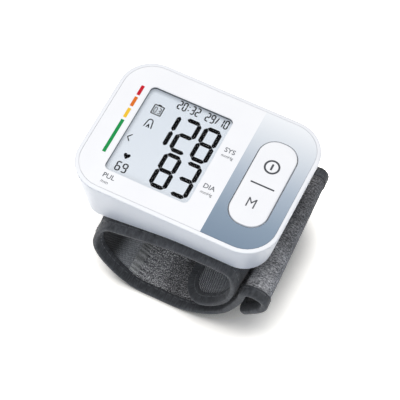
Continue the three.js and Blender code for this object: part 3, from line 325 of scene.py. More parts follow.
def addLamp(name):
    lamp = studio[name]
    light = bpy.data.lights.new(name + "Light", "AREA")
    light.shape = "DISK"
    light.size = lamp["size"]
    light.energy = lamp["power"]
    light.color = lamp["colour"]
    holder = addObject(name + "Light", light)
    holder.location = lamp["place"]
    aim = Vector(studio["aim"]) - holder.location
    holder.rotation_euler = aim.to_track_quat("-Z", "Y").to_euler()


addCamera()
addFloor()
addRoom()
for name in ("key", "fill"):
    addLamp(name)
print("camera, floor and light set")


# finishes of the rigid pieces

def mouldedPlastic(tree, light, dark, roughness, grain):
    place = objectPlace(tree)
    surface(tree, {
        "Base Color": mottled(tree, place, 90, 3, dark, light),
        "Roughness": ranged(tree, noise(tree, place, 260, 4), roughness - 0.05, roughness + 0.05),
        "Normal": bump(tree, noise(tree, place, 2600), grain, 0.05),
        "IOR": 1.47,
    })


panelPrint = {
    "fieldEdge": 14.8,  # left edge of the shaded field
    "fieldSpan": (-29.0, 29.0),  # over which its shades run, from low to high
    "white": (tone(243, 243, 246), tone(247, 247, 249)),
    "shades": (
        (0.0, tone(98, 122, 146)), (0.2, tone(118, 139, 160)), (0.5, tone(163, 176, 191)),
        (0.78, tone(212, 218, 225)), (1.0, tone(241, 243, 246)),
    ),
}


def heightShare(tree, place, span):
    # 0 to 1 from the low end of a span in Y to its high end
    low, high = (v * mm for v in span)
    return ranged(tree, axisOf(tree, place, "Y"), 0, 1, low, high)


def printedFilm(tree):
    place = objectPlace(tree)
    sheet = mottled(tree, place, 60, 3, *panelPrint["white"])
    field = ramp(tree, heightShare(tree, place, panelPrint["fieldSpan"]), *panelPrint["shades"])
    inField = calculated(tree, "GREATER_THAN", axisOf(tree, place, "X"), panelPrint["fieldEdge"] * mm)
    surface(tree, {
        "Base Color": mixed(tree, inField, sheet, field),
        "Roughness": ranged(tree, noise(tree, place, 300, 3), 0.28, 0.31),
        "Normal": bump(tree, noise(tree, place, 3200), 0.015, 0.03),
        "IOR": 1.5,
    })


def softRubber(tree, dark, light):
    place = objectPlace(tree)
    surface(tree, {
        "Base Color": mottled(tree, place, 700, 4, dark, light, (0.35, 0.7)),
        "Roughness": 0.78,
        "Normal": bump(tree, noise(tree, place, 1800, 3), 0.2, 0.05),
    })


def clearPane(tree):
    # a thin clear sheet that reflects on its front only
    front = calculated(tree, "SUBTRACT", 1.0, node(tree, "ShaderNodeNewGeometry").outputs["Backfacing"])
    edge = times(tree, node(tree, "ShaderNodeFresnel", {"IOR": 1.13}).outputs[0], front)
    smear = noise(tree, objectPlace(tree), 140, 3)
    gloss = node(tree, "ShaderNodeBsdfGlossy", {"Color": white, "Roughness": ranged(tree, smear, 0.04, 0.1)})
    through = node(tree, "ShaderNodeBsdfTransparent", {"Color": (0.985, 0.99, 0.995, 1)})
    endTree(tree, node(tree, "ShaderNodeMixShader", {0: edge, 1: through.outputs[0], 2: gloss.outputs[0]}))


displayLook = {
    "span": (-22, 21),  # from its lower edge to its upper one
    "tones": ((0, tone(196, 200, 205)), (1, tone(190, 195, 201))),
    # painted light: the display gives off a faint glow of its own, which lifts the shade in its recess
    "paintedGlow": tone(225, 231, 238),
    "paintedGlowStrength": 0.26,
}


def displayGlass(tree):
    place = objectPlace(tree)
    colour = ramp(tree, heightShare(tree, place, displayLook["span"]), *displayLook["tones"])
    speck = mottled(tree, place, 5200, 1, tone(246, 246, 246), white)
    surface(tree, {
        "Base Color": multiplied(tree, colour, speck),
        "Roughness": 0.35,
        # painted light: a faint glow that the display has in place of light reaching it
        "Emission Color": displayLook["paintedGlow"],
        "Emission Strength": displayLook["paintedGlowStrength"],
    })


def circuitBoard(tree):
    tracks = node(tree, "ShaderNodeTexBrick", {
        "Vector": objectPlace(tree), "Scale": 120, "Mortar Size": 0.03, "Color1": tone(28, 84, 55),
        "Color2": tone(34, 97, 63), "Mortar": tone(58, 128, 84),
    })
    surface(tree, {
        "Base Color": tracks.outputs["Color"],
        "Roughness": 0.4,
        "Normal": bump(tree, tracks.outputs["Fac"], 0.3, 0.05),
    })


def bareMetal(tree):
    lines = node(tree, "ShaderNodeMapping", {"Vector": objectPlace(tree), "Scale": (1, 30, 1)}).outputs[0]
    scratch = noise(tree, lines, 900, 3)
    surface(tree, {
        "Base Color": ramp(tree, scratch, (0.3, tone(168, 171, 176)), (0.7, tone(204, 207, 211))),
        "Metallic": 1.0,
        "Roughness": ranged(tree, scratch, 0.22, 0.4),
    })


cellPrint = {
    "span": (-23, 23),
    "bands": ((0.0, tone(58, 62, 70)), (0.62, tone(66, 70, 79)), (0.66, tone(150, 153, 158))),
}


def cellJacket(tree):
    place = objectPlace(tree)
    surface(tree, {
        "Base Color": ramp(tree, heightShare(tree, place, cellPrint["span"]), *cellPrint["bands"]),
        "Roughness": 0.35,
        "Metallic": 0.3,
        "Normal": bump(tree, noise(tree, place, 1200), 0.05, 0.03),
    })


caseWhite = newFinish(
    "caseWhite", mouldedPlastic, tone(245, 246, 249), tone(241, 242, 246), roughness=0.36, grain=0.06)
keyWhite = newFinish(
    "keyWhite", mouldedPlastic, tone(248, 248, 250), tone(245, 245, 248), roughness=0.42, grain=0.05)
chipBlack = newFinish(
    "chipBlack", mouldedPlastic, tone(34, 35, 39), tone(27, 28, 31), roughness=0.55, grain=0.2)
darkRubber = newFinish("darkRubber", softRubber, tone(66, 70, 78), tone(80, 84, 92))
paleRubber = newFinish("paleRubber", softRubber, tone(209, 211, 216), tone(219, 221, 226))
steel = newFinish("bareMetal", bareMetal)
jacket = newFinish("cellJacket", cellJacket)
film = newFinish("printedFilm", printedFilm)
pane = newFinish("clearPane", clearPane)
glass = newFinish("displayGlass", displayGlass)
board = newFinish("circuitBoard", circuitBoard)

rigidFinishes = {
    "front_shell": caseWhite, "rear_cover": caseWhite, "battery_door": caseWhite,
    "battery_tray": caseWhite, "display_holder": caseWhite, "key_cradle": caseWhite,
    "pump_head": caseWhite, "air_nipple": caseWhite, "rocker_key": keyWhite,
    "face_panel": film, "display_gasket": darkRubber, "air_manifold": darkRubber,
    "display_window": pane, "display_cell": glass,
    "contact_strip_upper": paleRubber, "contact_strip_lower": paleRubber, "sensor_hose": paleRubber,
    "main_board": board, "processor_chip": chipBlack, "pressure_sensor": chipBlack,
    "power_switch": chipBlack, "memory_switch": chipBlack, "exhaust_valve": chipBlack,
    "pump_motor": steel, "pump_crank": steel, "key_pivot_pin": steel,
    "contact_link": steel, "contact_plate_minus": steel, "contact_plate_plus": steel,
    "contact_spring_1": steel, "contact_spring_2": steel,
    "case_screw_1": steel, "case_screw_2": steel, "case_screw_3": steel, "case_screw_4": steel,
    "battery_cell_1": jacket, "battery_cell_2": jacket,
}
for name, material in rigidFinishes.items():
    dress(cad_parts[name], material)

roundShading = {
    "pieces": ("front_shell", "rear_cover", "battery_door", "rocker_key", "face_panel"),
    "weld": 0.002,
    "sharp": 28,  # degrees between facets from which an edge stays sharp
}
for name in roundShading["pieces"]:
    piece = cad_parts[name]
    piece.data.polygons.foreach_set("use_smooth", [True] * len(piece.data.polygons))
    piece.modifiers.new("weld", "WELD").merge_threshold = roundShading["weld"] * mm
    piece.modifiers.new("split", "EDGE_SPLIT").split_angle = math.radians(roundShading["sharp"])
    piece.modifiers.new("shade", "WEIGHTED_NORMAL")
print("rigid pieces finished:", len(rigidFinishes))


# printed marks: thin flat shapes on the panel, the key and the display

def ink(tree, dark, light, shine=0.15):
    surface(tree, {
        "Base Color": mottled(tree, objectPlace(tree), 1500, 2, dark, light),
        "Roughness": 0.45,
        "Specular IOR Level": shine,
    })


inkTones = {
    "grey": (tone(92, 95, 101), tone(101, 104, 110)),
    "dark": (tone(70, 72, 77), tone(78, 80, 85)),
    "crystal": (tone(9, 9, 11), tone(16, 16, 18), 0.0),  # without shine
    "red": (tone(196, 4, 32), tone(203, 14, 40)),
    "orange": (tone(222, 107, 22), tone(227, 115, 30)),
    "yellow": (tone(246, 196, 45), tone(249, 203, 58)),
    "green": (tone(4, 141, 68), tone(10, 149, 75)),
}
inks = {name: newFinish(name + "Ink", ink, *tones) for name, tones in inkTones.items()}
printHeight = 0.05  # thickness of a mark
printGap = 0.01
curveSteps = {"text": 6, "heart": 10}  # pieces of each curve
printPlaces = {
    "panel": {"solid": "face_panel", "body": "monitor", "slot": "printed_panel"},
    "key": {"solid": "rocker_key", "body": "key", "slot": "white_plastic"},
    "display": {"solid": "display_cell", "body": "monitor", "slot": "display_grey"},
}


def topOf(place):
    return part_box(printPlaces[place]["solid"])[1].z / mm


def setAt(piece, x, y, turn=0):
    piece.location = (x * mm, y * mm, 0)
    piece.rotation_euler = (0, 0, math.radians(turn))
    return piece


def markBar(length, width, corner, turns=3):
    # flat bar with rounded corners, or with cut ones for a single turn, lying along X
    bpy.ops.mesh.primitive_cube_add(size=1)
    bar = bpy.context.object
    bar.scale = (length * mm, width * mm, printHeight * mm)
    bpy.ops.object.transform_apply(scale=True)

    def upright(edge):
        first, second = (bar.data.vertices[k].co.z for k in edge.vertices)
        return abs(first - second) > printHeight * mm / 2

    pick(bar, "edges", upright)
    bpy.ops.object.mode_set(mode="EDIT")
    bpy.ops.mesh.bevel(offset=corner * mm, segments=turns, affect="EDGES")
    bpy.ops.object.mode_set(mode="OBJECT")
    return bar


def copyOf(piece, x, y, turn=0):
    return setAt(addObject(piece.name, piece.data.copy()), x, y, turn)


def printOn(place, name, parts, colour):
    mark = joined(parts)
    mark.name = name
    mark.location.z += (topOf(place) + printGap + printHeight / 2) * mm
    bpy.ops.object.transform_apply(location=True, rotation=True, scale=True)
    dress(mark, inks[colour])
    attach(mark, printPlaces[place]["body"])


def flatText(words, x, y, size, weight=0.0):
    bpy.ops.object.text_add()
    text = bpy.context.object
    text.data.body = words
    text.data.size = size * mm
    text.data.align_x = "CENTER"
    text.data.align_y = "CENTER"
    text.data.offset = weight * mm
    text.data.resolution_u = curveSteps["text"]
    text.data.extrude = printHeight * mm / 2
    bpy.ops.object.convert(target="MESH")
    return setAt(bpy.context.object, x, y)


scaleBars = {
    "x": -32.4, "width": 1.35, "corner": 0.16,
    "stretches": {
        "red": (13.5, 18.2), "orange": (7.9, 12.5), "yellow": (2.25, 6.8), "green": (-14.8, 1.1),
    },
}
for colour, (low, high) in scaleBars["stretches"].items():
    bar = markBar(high - low, scaleBars["width"], scaleBars["corner"])
    setAt(bar, scaleBars["x"], (low + high) / 2, 90)
    printOn("panel", "scale_bar_" + colour, [bar], colour)

panelWords = {
    "large": {"size": 2.9, "weight": 0.02},
    "small": {"size": 1.8},
    "places": {
        "upper_value": (("SYS", 9.85, 6.81), ("mmHg", 9.89, 4.13)),
        "lower_value": (("DIA", 9.7, -10.85), ("mmHg", 9.78, -13.67)),
        "pulse_value": (("PUL", -25.6, -23.65), ("/min", -26.1, -26.4)),
    },
}
for name, (first, second) in panelWords["places"].items():
    parts = [flatText(*first, **panelWords["large"]), flatText(*second, **panelWords["small"])]
    printOn("panel", "print_" + name, parts, "grey")

keyMarks = {
    "corner": 0.2,  # of the bars
    "ring": {"x": 26.96, "y": 7.5, "outer": 3.12, "inner": 2.38, "sides": 56},
    "stroke": {"length": 2.8, "width": 0.78},
    "divider": {"x": 27.15, "y": -1.45, "length": 9.7, "width": 0.62},
    "letter": {"x": 26.55, "y": -10.1, "size": 6.1, "weight": -0.015},
    "letterNarrow": 0.86,
}


def keyRing(ring):
    bpy.ops.mesh.primitive_circle_add(vertices=ring["sides"], radius=ring["outer"] * mm, fill_type="NGON")
    made = bpy.context.object
    bpy.ops.object.mode_set(mode="EDIT")
    bpy.ops.mesh.select_all(action="SELECT")
    bpy.ops.mesh.inset(thickness=(ring["outer"] - ring["inner"]) * mm)
    bpy.ops.mesh.delete(type="FACE")
    bpy.ops.mesh.select_all(action="SELECT")
    bpy.ops.mesh.extrude_region_move(TRANSFORM_OT_translate={"value": (0, 0, printHeight * mm)})
    turnOutward()
    setAt(made, ring["x"], ring["y"]).location.z = -printHeight * mm / 2
    return made


def keyBar(bar, x, y, turn=0):
    return setAt(markBar(bar["length"], bar["width"], keyMarks["corner"]), x, y, turn)


ring, divider = keyMarks["ring"], keyMarks["divider"]
powerMark = [keyRing(ring), keyBar(keyMarks["stroke"], ring["x"], ring["y"], 90)]
printOn("key", "key_power_mark", powerMark, "dark")
printOn("key", "key_divider", [keyBar(divider, divider["x"], divider["y"])], "dark")
memoryMark = flatText("M", **keyMarks["letter"])
memoryMark.scale.x = keyMarks["letterNarrow"]
printOn("key", "key_memory_mark", [memoryMark], "dark")
print("panel and key printed")


# display: seven-stroke figures and small signs

strokesOf = {
    "0": "abcdef", "1": "bc", "2": "abged", "3": "abgcd", "6": "afgedc", "8": "abcdefg", "9": "abcfgd",
}
# the display lies under the face, so its marks sit a little to the upper left of where they are seen
viewLean = (-0.22, 0.527)  # shift for each millimetre of depth
displayDepth = topOf("panel") - topOf("display")
seenShift = [lean * displayDepth for lean in viewLean]

figures = {
    "upper_reading": {"text": "128", "x": -7.95, "y": 5.05, "size": "large"},
    "lower_reading": {"text": " 83", "x": -7.95, "y": -12.0, "size": "large"},
    "pulse_reading": {"text": "69", "x": -23.43, "y": -17.85, "size": "middle"},
    "clock": {"text": "20:32", "x": -12.28, "y": 16.95, "size": "small"},
    "date": {"text": "29/10", "x": -0.3, "y": 16.85, "size": "small"},
    "memory_number": {"text": "03", "x": -22.7, "y": 10.75, "size": "tiny"},
}
figureSizes = {
    "large": {"tall": 16.3, "wide": 7.4, "step": 8.53, "stroke": 1.75},
    "middle": {"tall": 4.25, "wide": 2.15, "step": 2.6, "stroke": 0.52},
    "small": {"tall": 4.1, "wide": 1.78, "step": 2.1, "stroke": 0.5},
    "tiny": {"tall": 2.8, "wide": 1.3, "step": 1.65, "stroke": 0.34},
}
figureStyle = {
    "gap": 0.2,  # between strokes, as a share of their width
    "point": 0.44,  # cut from each corner of a stroke, as a share of its width
    "room": {":": 0.6, "/": 0.75},  # share of a figure's room
    "dotHeight": 0.2,  # of the dots above and below the middle, as a share of the height
    "dotLength": 0.35,
    "slashTurn": 78,
    "slashLength": 1.9,
}


def figureRow(row):
    size = figureSizes[row["size"]]
    tall, wide, stroke = size["tall"], size["wide"], size["stroke"]
    # strokes with pointed ends that meet at the middle of each corner, a small gap apart
    gap, point = figureStyle["gap"] * stroke, figureStyle["point"] * stroke
    side = (wide - stroke) / 2
    end = (tall - stroke) / 2
    level = markBar(2 * side - gap, stroke, point, 1)
    upright = markBar(end - gap, stroke, point, 1)
    places = {
        "a": (level, 0, end, 0), "g": (level, 0, 0, 0), "d": (level, 0, -end, 0),
        "b": (upright, side, end / 2, 90), "c": (upright, side, -end / 2, 90),
        "f": (upright, -side, end / 2, 90), "e": (upright, -side, -end / 2, 90),
    }
    parts = []
    rooms = [size["step"] * figureStyle["room"].get(sign, 1) for sign in row["text"]]
    start = row["x"] + seenShift[0] - sum(rooms) / 2
    y = row["y"] + seenShift[1]
    for k, sign in enumerate(row["text"]):
        x = start + sum(rooms[:k]) + rooms[k] / 2
        for letter in strokesOf.get(sign, ""):
            bar, dx, dy, turn = places[letter]
            parts.append(copyOf(bar, x + dx, y + dy, turn))
        if sign == ":":
            for way in (-1, 1):
                parts.append(copyOf(level, x, y + way * tall * figureStyle["dotHeight"], 90))
                parts[-1].scale.x = figureStyle["dotLength"]
        if sign == "/":
            parts.append(copyOf(upright, x, y, figureStyle["slashTurn"]))
            parts[-1].scale.x = figureStyle["slashLength"]
    for bar in (level, upright):
        bpy.data.objects.remove(bar)
    return parts


for name, row in figures.items():
    printOn("display", "display_" + name, figureRow(row), "crystal")

signs = {
    "line": 0.42,
    "memory": {"x": -22.7, "y": 10.85, "wide": 3.9, "tall": 4.1, "knob": 1.1},
    "cuff": {"x": -22.85, "y": 4.2, "wide": 3.0, "tall": 3.9, "head": 1.0, "turns": 6},
    "pointer": {"x": -26.9, "y": -4.8, "wide": 1.25, "tall": 3.1},
    "heart": {
        "x": -23.85, "y": -12.65, "wide": 2.65, "tall": 2.65,
        # place, and the two handles that shape the curve there, as shares of the width
        "outline": (
            ((0, -0.58), (-0.13, -0.36), (0.13, -0.36)),
            ((0.5, 0.14), (0.5, -0.09), (0.5, 0.31)),
            ((0.26, 0.42), (0.4, 0.42), (0.12, 0.42)),
            ((0, 0.22), (0.02, 0.32), (-0.02, 0.32)),
            ((-0.26, 0.42), (-0.12, 0.42), (-0.4, 0.42)),
            ((-0.5, 0.14), (-0.5, 0.31), (-0.5, -0.09)),
        ),
    },
}
strokeEnds = {"reach": 0.6, "round": 0.4}  # shares of a line's width


def strokeBetween(first, second):
    width = signs["line"]
    bar = markBar(math.dist(first, second) + width * strokeEnds["reach"], width, width * strokeEnds["round"])
    turn = math.atan2(second[1] - first[1], second[0] - first[0])
    return setAt(bar, (first[0] + second[0]) / 2, (first[1] + second[1]) / 2, math.degrees(turn))


def strokeRow(points):
    return [strokeBetween(first, second) for first, second in zip(points, points[1:])]


def signBox(name):
    # middle of a sign, half its width and half its height
    sign = signs[name]
    return sign["x"] + seenShift[0], sign["y"] + seenShift[1], sign["wide"] / 2, sign["tall"] / 2


def memorySign():
    x, y, wide, tall = signBox("memory")
    left, right, low, high = x - wide, x + wide, y - tall, y + tall
    knob, top = signs["memory"]["knob"] / 2, high + signs["line"]
    case = strokeRow([(left, low), (right, low), (right, high), (left, high), (left, low)])
    return case + strokeRow([(x - knob, top), (x + knob, top)])


def cuffSign():
    # an arm in outline: a round top over two lines that spread, with a smaller pair inside
    x, y, wide, tall = signBox("cuff")
    head, count = signs["cuff"]["head"], signs["cuff"]["turns"]
    turns = [math.pi * k / count for k in range(count + 1)]
    arch = [(x + head * math.cos(turn), y + tall - head + head * math.sin(turn)) for turn in turns]
    inside = [(x - wide / 3, y - tall), (x, y - tall / 4), (x + wide / 3, y - tall)]
    return strokeRow([(x + wide, y - tall), *arch, (x - wide, y - tall)]) + strokeRow(inside)


def pointerSign():
    x, y, wide, tall = signBox("pointer")
    return strokeRow([(x + wide, y + tall), (x - wide, y), (x + wide, y - tall)])


def heartSign():
    x, y, *_ = signBox("heart")
    size = signs["heart"]["wide"] * mm
    line = bpy.data.curves.new("heart", "CURVE")
    line.dimensions = "2D"
    line.fill_mode = "BOTH"
    line.extrude = printHeight * mm / 2
    line.resolution_u = curveSteps["heart"]
    spline = line.splines.new("BEZIER")
    outline = signs["heart"]["outline"]
    spline.bezier_points.add(len(outline) - 1)
    spline.use_cyclic_u = True
    for point, places in zip(spline.bezier_points, outline):
        point.handle_left_type = point.handle_right_type = "FREE"
        point.co, point.handle_left, point.handle_right = ((a * size, b * size, 0) for a, b in places)
    selectOnly(addObject("heart", line))
    bpy.ops.object.convert(target="MESH")
    return [setAt(bpy.context.object, x, y)]


signMakers = {"memory": memorySign, "cuff": cuffSign, "pointer": pointerSign, "heart": heartSign}
for name, make in signMakers.items():
    printOn("display", "display_sign_" + name, make(), "crystal")
print("display drawn")


# the side path that the cuff and the strap follow, from the tongue to the strap's free end

wrapShape = {
    "tongue": (8, 8.4),
    "rightLobe": (31.9, 36),
    "seat": (24, -22),  # from right to left under the housing
    "faceHeight": 67,
    "shallow": 17.4,
    "slope": 0.27,
    "bendPlace": 4,
    "bendLength": 5,
    "housingGap": 0.9,
    "leftLobe": (-30.4, 23.5),
    "sole": (-7, 4),
    "riser": (29.7, 16.2),
    "riserTurn": 57,
    "roll": (39, 34.2),
    "rollRadius": 2.6,
    "rollEnds": (-31, 33),
    "rollSpread": (1.32, 0.79),  # share of its width at the front end and at the rear end
    "spreadHeights": (14, 30),
    "freeEnd": (32.9, 18.2),
    "seam": (-16, 0),
}
wrapSteps = {
    "leg": 60, "seat": 92, "sole": 22, "roll": 40,
    "even": 0.2,  # spacing of the samples
    "reach": 5,  # samples on each side that set the direction
}


def seatHeight(x):
    run = x - wrapShape["bendPlace"]
    fall = wrapShape["slope"] * (math.hypot(run, wrapShape["bendLength"]) - run) / 2
    return wrapShape["faceHeight"] - wrapShape["shallow"] - fall - wrapShape["housingGap"]


def steps(part):
    count = wrapSteps[part]
    return [k / count for k in range(1, count + 1)]


def addLeg(points, end, leaving, arriving, fullness):
    # a curve to the end that leaves and arrives at angles in degrees
    start = points[-1]
    reach = fullness * math.dist(start, end)
    out, into = math.radians(leaving), math.radians(arriving)
    first = (start[0] + reach * math.cos(out), start[1] + reach * math.sin(out))
    second = (end[0] - reach * math.cos(into), end[1] - reach * math.sin(into))
    corners = (start, first, second, end)
    for t in steps("leg"):
        shares = ((1 - t) ** 3, 3 * t * (1 - t) ** 2, 3 * t * t * (1 - t), t ** 3)
        points.append(tuple(sum(w * p[axis] for w, p in zip(shares, corners)) for axis in (0, 1)))


def wrapLine():
    right, left = wrapShape["seat"]
    soleStart, soleEnd = wrapShape["sole"]
    rollX, rollZ = wrapShape["roll"]
    radius, riserTurn = wrapShape["rollRadius"], wrapShape["riserTurn"]
    seatTurn = 180 + math.degrees(math.atan(wrapShape["slope"]))
    points = [wrapShape["tongue"]]
    addLeg(points, wrapShape["rightLobe"], leaving=3, arriving=90, fullness=0.39)
    addLeg(points, (right, seatHeight(right)), leaving=90, arriving=180, fullness=0.45)
    for share in steps("seat"):
        x = right + (left - right) * share
        points.append((x, seatHeight(x)))
    addLeg(points, wrapShape["leftLobe"], leaving=seatTurn, arriving=270, fullness=0.3)
    addLeg(points, (soleStart, 0), leaving=270, arriving=360, fullness=0.34)
    for share in steps("sole"):
        points.append((soleStart * (1 - share) + soleEnd * share, 0))
    addLeg(points, wrapShape["riser"], leaving=0, arriving=riserTurn, fullness=0.35)
    addLeg(points, (rollX - radius, rollZ), leaving=riserTurn, arriving=90, fullness=0.35)
    for share in steps("roll"):
        angle = math.pi * (1 - share)
        points.append((rollX + radius * math.cos(angle), rollZ + radius * math.sin(angle)))
    addLeg(points, wrapShape["freeEnd"], leaving=-90, arriving=-120, fullness=0.35)
    return np.array(points)


def runLengths(points):
    return np.concatenate([[0], np.cumsum(np.linalg.norm(np.diff(points, axis=0), axis=1))])


def evenLine(points, step):
    lengths = runLengths(points)
    even = np.linspace(0, lengths[-1], int(lengths[-1] / step) + 1)
    line = np.stack([np.interp(even, lengths, points[:, axis]) for axis in (0, 1)], axis=1)
    return even, line


def inwardOf(points, reach):
    # direction towards the wrist, from the samples within reach on each side
    order = np.arange(len(points))
    along = points[np.minimum(order + reach, len(points) - 1)] - points[np.maximum(order - reach, 0)]
    along /= np.linalg.norm(along, axis=1)[:, None]
    return np.stack([-along[:, 1], along[:, 0]], axis=1)


def runAt(place):
    return float(wrapRun[np.argmin(np.linalg.norm(wrapPoints - np.array(place), axis=1))])


wrapRun, wrapPoints = evenLine(wrapLine(), wrapSteps["even"])
inward = inwardOf(wrapPoints, wrapSteps["reach"])
wrapLength = float(wrapRun[-1])
seam = runAt(wrapShape["seam"])
riserRun = runAt(wrapShape["riser"])


def sampled(run, line):
    return [np.interp(run, wrapRun, line[:, axis]) for axis in (0, 1)]


def smoothStep(low, high, value):
    t = np.clip((np.asarray(value, float) - low) / (high - low), 0, 1)
    return t * t * (3 - 2 * t)


def loosened(run, x, across, z):
    # the strap is folded more loosely towards the front
    wide = np.interp(across, wrapShape["rollEnds"], wrapShape["rollSpread"]) - 1
    share = smoothStep(*wrapShape["spreadHeights"], z) * (run > seam)
    return x + (x - wrapShape["roll"][0]) * wide * share


def onWrap(run, across, depth):
    # run along the path, place across the width and depth towards the wrist, all in millimetres
    run, across, depth = (np.asarray(v, float) for v in (run, across, depth))
    x, z = (point + depth * into for point, into in zip(sampled(run, wrapPoints), sampled(run, inward)))
    return np.stack([loosened(run, x, across, z), across, z], axis=-1) * mm


def loopMesh(name, rings, flat):
    # closed skin over rings of points, rings[row][k], with cloth coordinates flat[row][k]
    rows, count = rings.shape[:2]
    faces, corners = [], []
    for row in range(rows - 1):
        for k in range(count):
            here, beside = row * count + k, row * count + (k + 1) % count
            faces.append((here, beside, beside + count, here + count))
            corners.extend((flat[row, k], flat[row, k + 1], flat[row + 1, k + 1], flat[row + 1, k]))
    for row in (0, rows - 1):
        for k in range(count // 2 - 1):
            cap = (k, k + 1, count - 2 - k, count - 1 - k)
            faces.append(tuple(row * count + place for place in cap))
            corners.extend(flat[row, place] for place in cap)
    return newPiece(name, rings, faces, corners)


edgeSteps = {"straight": 1.2, "corner": 14, "end": 40}


def edgeLine(start, end, band, atStart):
    # outline of a band's bound edge: run, across, and the direction into the cloth
    front, rear, corner = band["front"], band["rear"], band["corner"]
    far, tip, way = (end, start, -1) if atStart else (start, end, 1)
    runs = far + way * np.arange(0, end - start - corner, edgeSteps["straight"])
    sides = []
    for edge, into in ((front, 1), (rear, -1)):
        side = [(run, edge, 0, into) for run in runs]
        for turn in np.linspace(0, math.pi / 2, edgeSteps["corner"]):
            out, over = math.sin(turn), math.cos(turn)
            run, across = tip - way * corner * (1 - out), edge + into * corner * (1 - over)
            side.append((run, across, -way * out, into * over))
        sides.append(side)
    places = np.linspace(front + corner, rear - corner, edgeSteps["end"])[1:-1]
    return np.array([*sides[0], *((tip, across, -way, 0) for across in places), *sides[1][::-1]])


print("wrap path:", round(wrapLength, 1), "mm, seam at", round(seam, 1))


# cloth finishes

whitestCloth = (0.86, 0.86, 0.86)


def clothShader(tree, colour, normal, roughness, sheen):
    held = node(tree, "ShaderNodeVectorMath", {0: colour, 1: whitestCloth}, operation="MINIMUM").outputs[0]
    surface(tree, {
        "Base Color": held, "Roughness": roughness, "Normal": normal,
        "Sheen Weight": sheen, "Sheen Roughness": 0.5, "Specular IOR Level": 0.25,
    })


def alongCloth(tree, start, end, first, second, way="X"):
    # a share that changes smoothly between two places along the cloth, or with way Y across it
    place = axisOf(tree, clothMap(tree), way)
    return ranged(tree, place, first, second, start * mm, end * mm, interpolation_type="SMOOTHSTEP")


def scaled(tree, colour, share):
    return node(tree, "ShaderNodeVectorMath", {0: colour, "Scale": share}, operation="SCALE").outputs[0]


gatherSway = {"pitch": 2.1, "turn": 3.4, "rate": 0.47}  # turn and rate make the spacing uneven


def gatherShade(tree, fade):
    # painted shade in the hollows between the gathers, which run out along the cloth
    across = times(tree, axisOf(tree, clothMap(tree), "Y"), 1 / mm)
    swing = calculated(tree, "SINE", times(tree, across, gatherSway["rate"]), 0)
    evenly = times(tree, across, 2 * math.pi / gatherSway["pitch"])
    turn = plus(tree, evenly, times(tree, swing, gatherSway["turn"]))
    ridge = plus(tree, times(tree, calculated(tree, "SINE", turn, 0), 0.5), -0.5)
    return plus(tree, times(tree, ridge, alongCloth(tree, *fade)), 1.0)


fleeceGrain = {
    "nap": 0.68,  # share of the nap in the mottle, the rest is yarn
    "slants": ((35, 1.0), (-40, 0.9)),  # turn and scale of the yarns
    "yarnStretch": (0.55, 1.7, 1),
    "stops": (0.43, 0.52, 0.6),
    "calmStops": (0.42, 0.52, 0.62),
}


def brushedFleece(tree, tones, paler=None, rubbed=None, gathers=None, outside=None):
    # mottled yarns under a short brushed nap, with a calmer mottle on a stretch outside, and painted light
    # and shade on top
    plain = clothPlace(tree)
    nap = noise(tree, plain, scale=1.9, detail=4, roughness=0.75)
    slant, cross = (
        noise(tree, clothPlace(tree, turn, fleeceGrain["yarnStretch"]), scale, 3, 0.6)
        for turn, scale in fleeceGrain["slants"])
    yarn = times(tree, plus(tree, slant, cross), 0.5)
    both = plus(tree, times(tree, nap, fleeceGrain["nap"]), times(tree, yarn, 1 - fleeceGrain["nap"]))
    worn = mottled(tree, plain, 0.16, 2, tone(205, 205, 205), white)
    cloth = multiplied(tree, ramp(tree, both, *zip(fleeceGrain["stops"], tones)), worn)
    # painted light and shade: shares along and across the cloth make it lighter or darker where more or less
    # light falls
    if paler:
        cloth = scaled(tree, cloth, alongCloth(tree, *paler))
    if rubbed:
        cloth = scaled(tree, cloth, alongCloth(tree, *rubbed, "Y"))
    # painted shade in the hollows between the gathers
    if gathers:
        cloth = scaled(tree, cloth, gatherShade(tree, gathers))
    if outside:
        calm = multiplied(tree, ramp(tree, both, *zip(fleeceGrain["calmStops"], outside["tones"])), worn)
        # painted light and shade across the calm stretch too
        calm = scaled(tree, calm, alongCloth(tree, *outside["rubbed"], "Y"))
        cloth = mixed(tree, alongCloth(tree, *outside["from"], 0.0, 1.0), cloth, calm)
    clothShader(tree, cloth, bump(tree, both, 0.9, 0.5), roughness=0.95, sheen=0.25)


def wovenCover(tree):
    warp, weft = (
        wave(tree, clothPlace(tree, turn), scale=0.55, distortion=0.6, detail=1) for turn in (0, 90))
    weave = times(tree, warp, weft)
    colour = mottled(tree, clothPlace(tree), 1.5, 3, tone(55, 57, 62), tone(86, 88, 93), (0.35, 0.65))
    shade = ramp(tree, weave, (0.0, tone(190, 190, 190)), (0.7, white))
    woven = multiplied(tree, colour, shade)
    clothShader(tree, woven, bump(tree, weave, 0.5, 0.25), roughness=0.9, sheen=0.2)


# where the lining's holes show and its painted light and shade change along its length: two places in
# millimetres, and the shares there
liningHolesAndLight = {
    "holes": (seam - 40, seam - 12, 1.0, 0.45),
    "shade": (25, 95, 1.3, 0.09),
    "rubbed": (seam - 15, seam - 5, 1.0, 13.5),
}


def meshLining(tree):
    # fine knitted mesh: rows of small holes, set on the slant
    first, second = (wave(tree, clothPlace(tree, turn), scale=0.4) for turn in (45, -45))
    knit = times(tree, first, second)
    yarn = mottled(tree, clothPlace(tree), 1.2, 3, tone(140, 141, 145), tone(196, 197, 201))
    holes = ramp(tree, knit, (0.05, tone(72, 72, 74)), (0.45, white))
    holeShare, shade, rubbed = (alongCloth(tree, *liningHolesAndLight[name]) for name in ("holes", "shade", "rubbed"))
    # painted shade darkens the lining from the tongue towards the left lobe, and painted light brightens it
    # near the seam
    cloth = scaled(tree, mixed(tree, holeShare, yarn, holes, "MULTIPLY"), times(tree, shade, rubbed))
    clothShader(tree, cloth, bump(tree, knit, 0.8, 0.3), roughness=0.9, sheen=0.15)


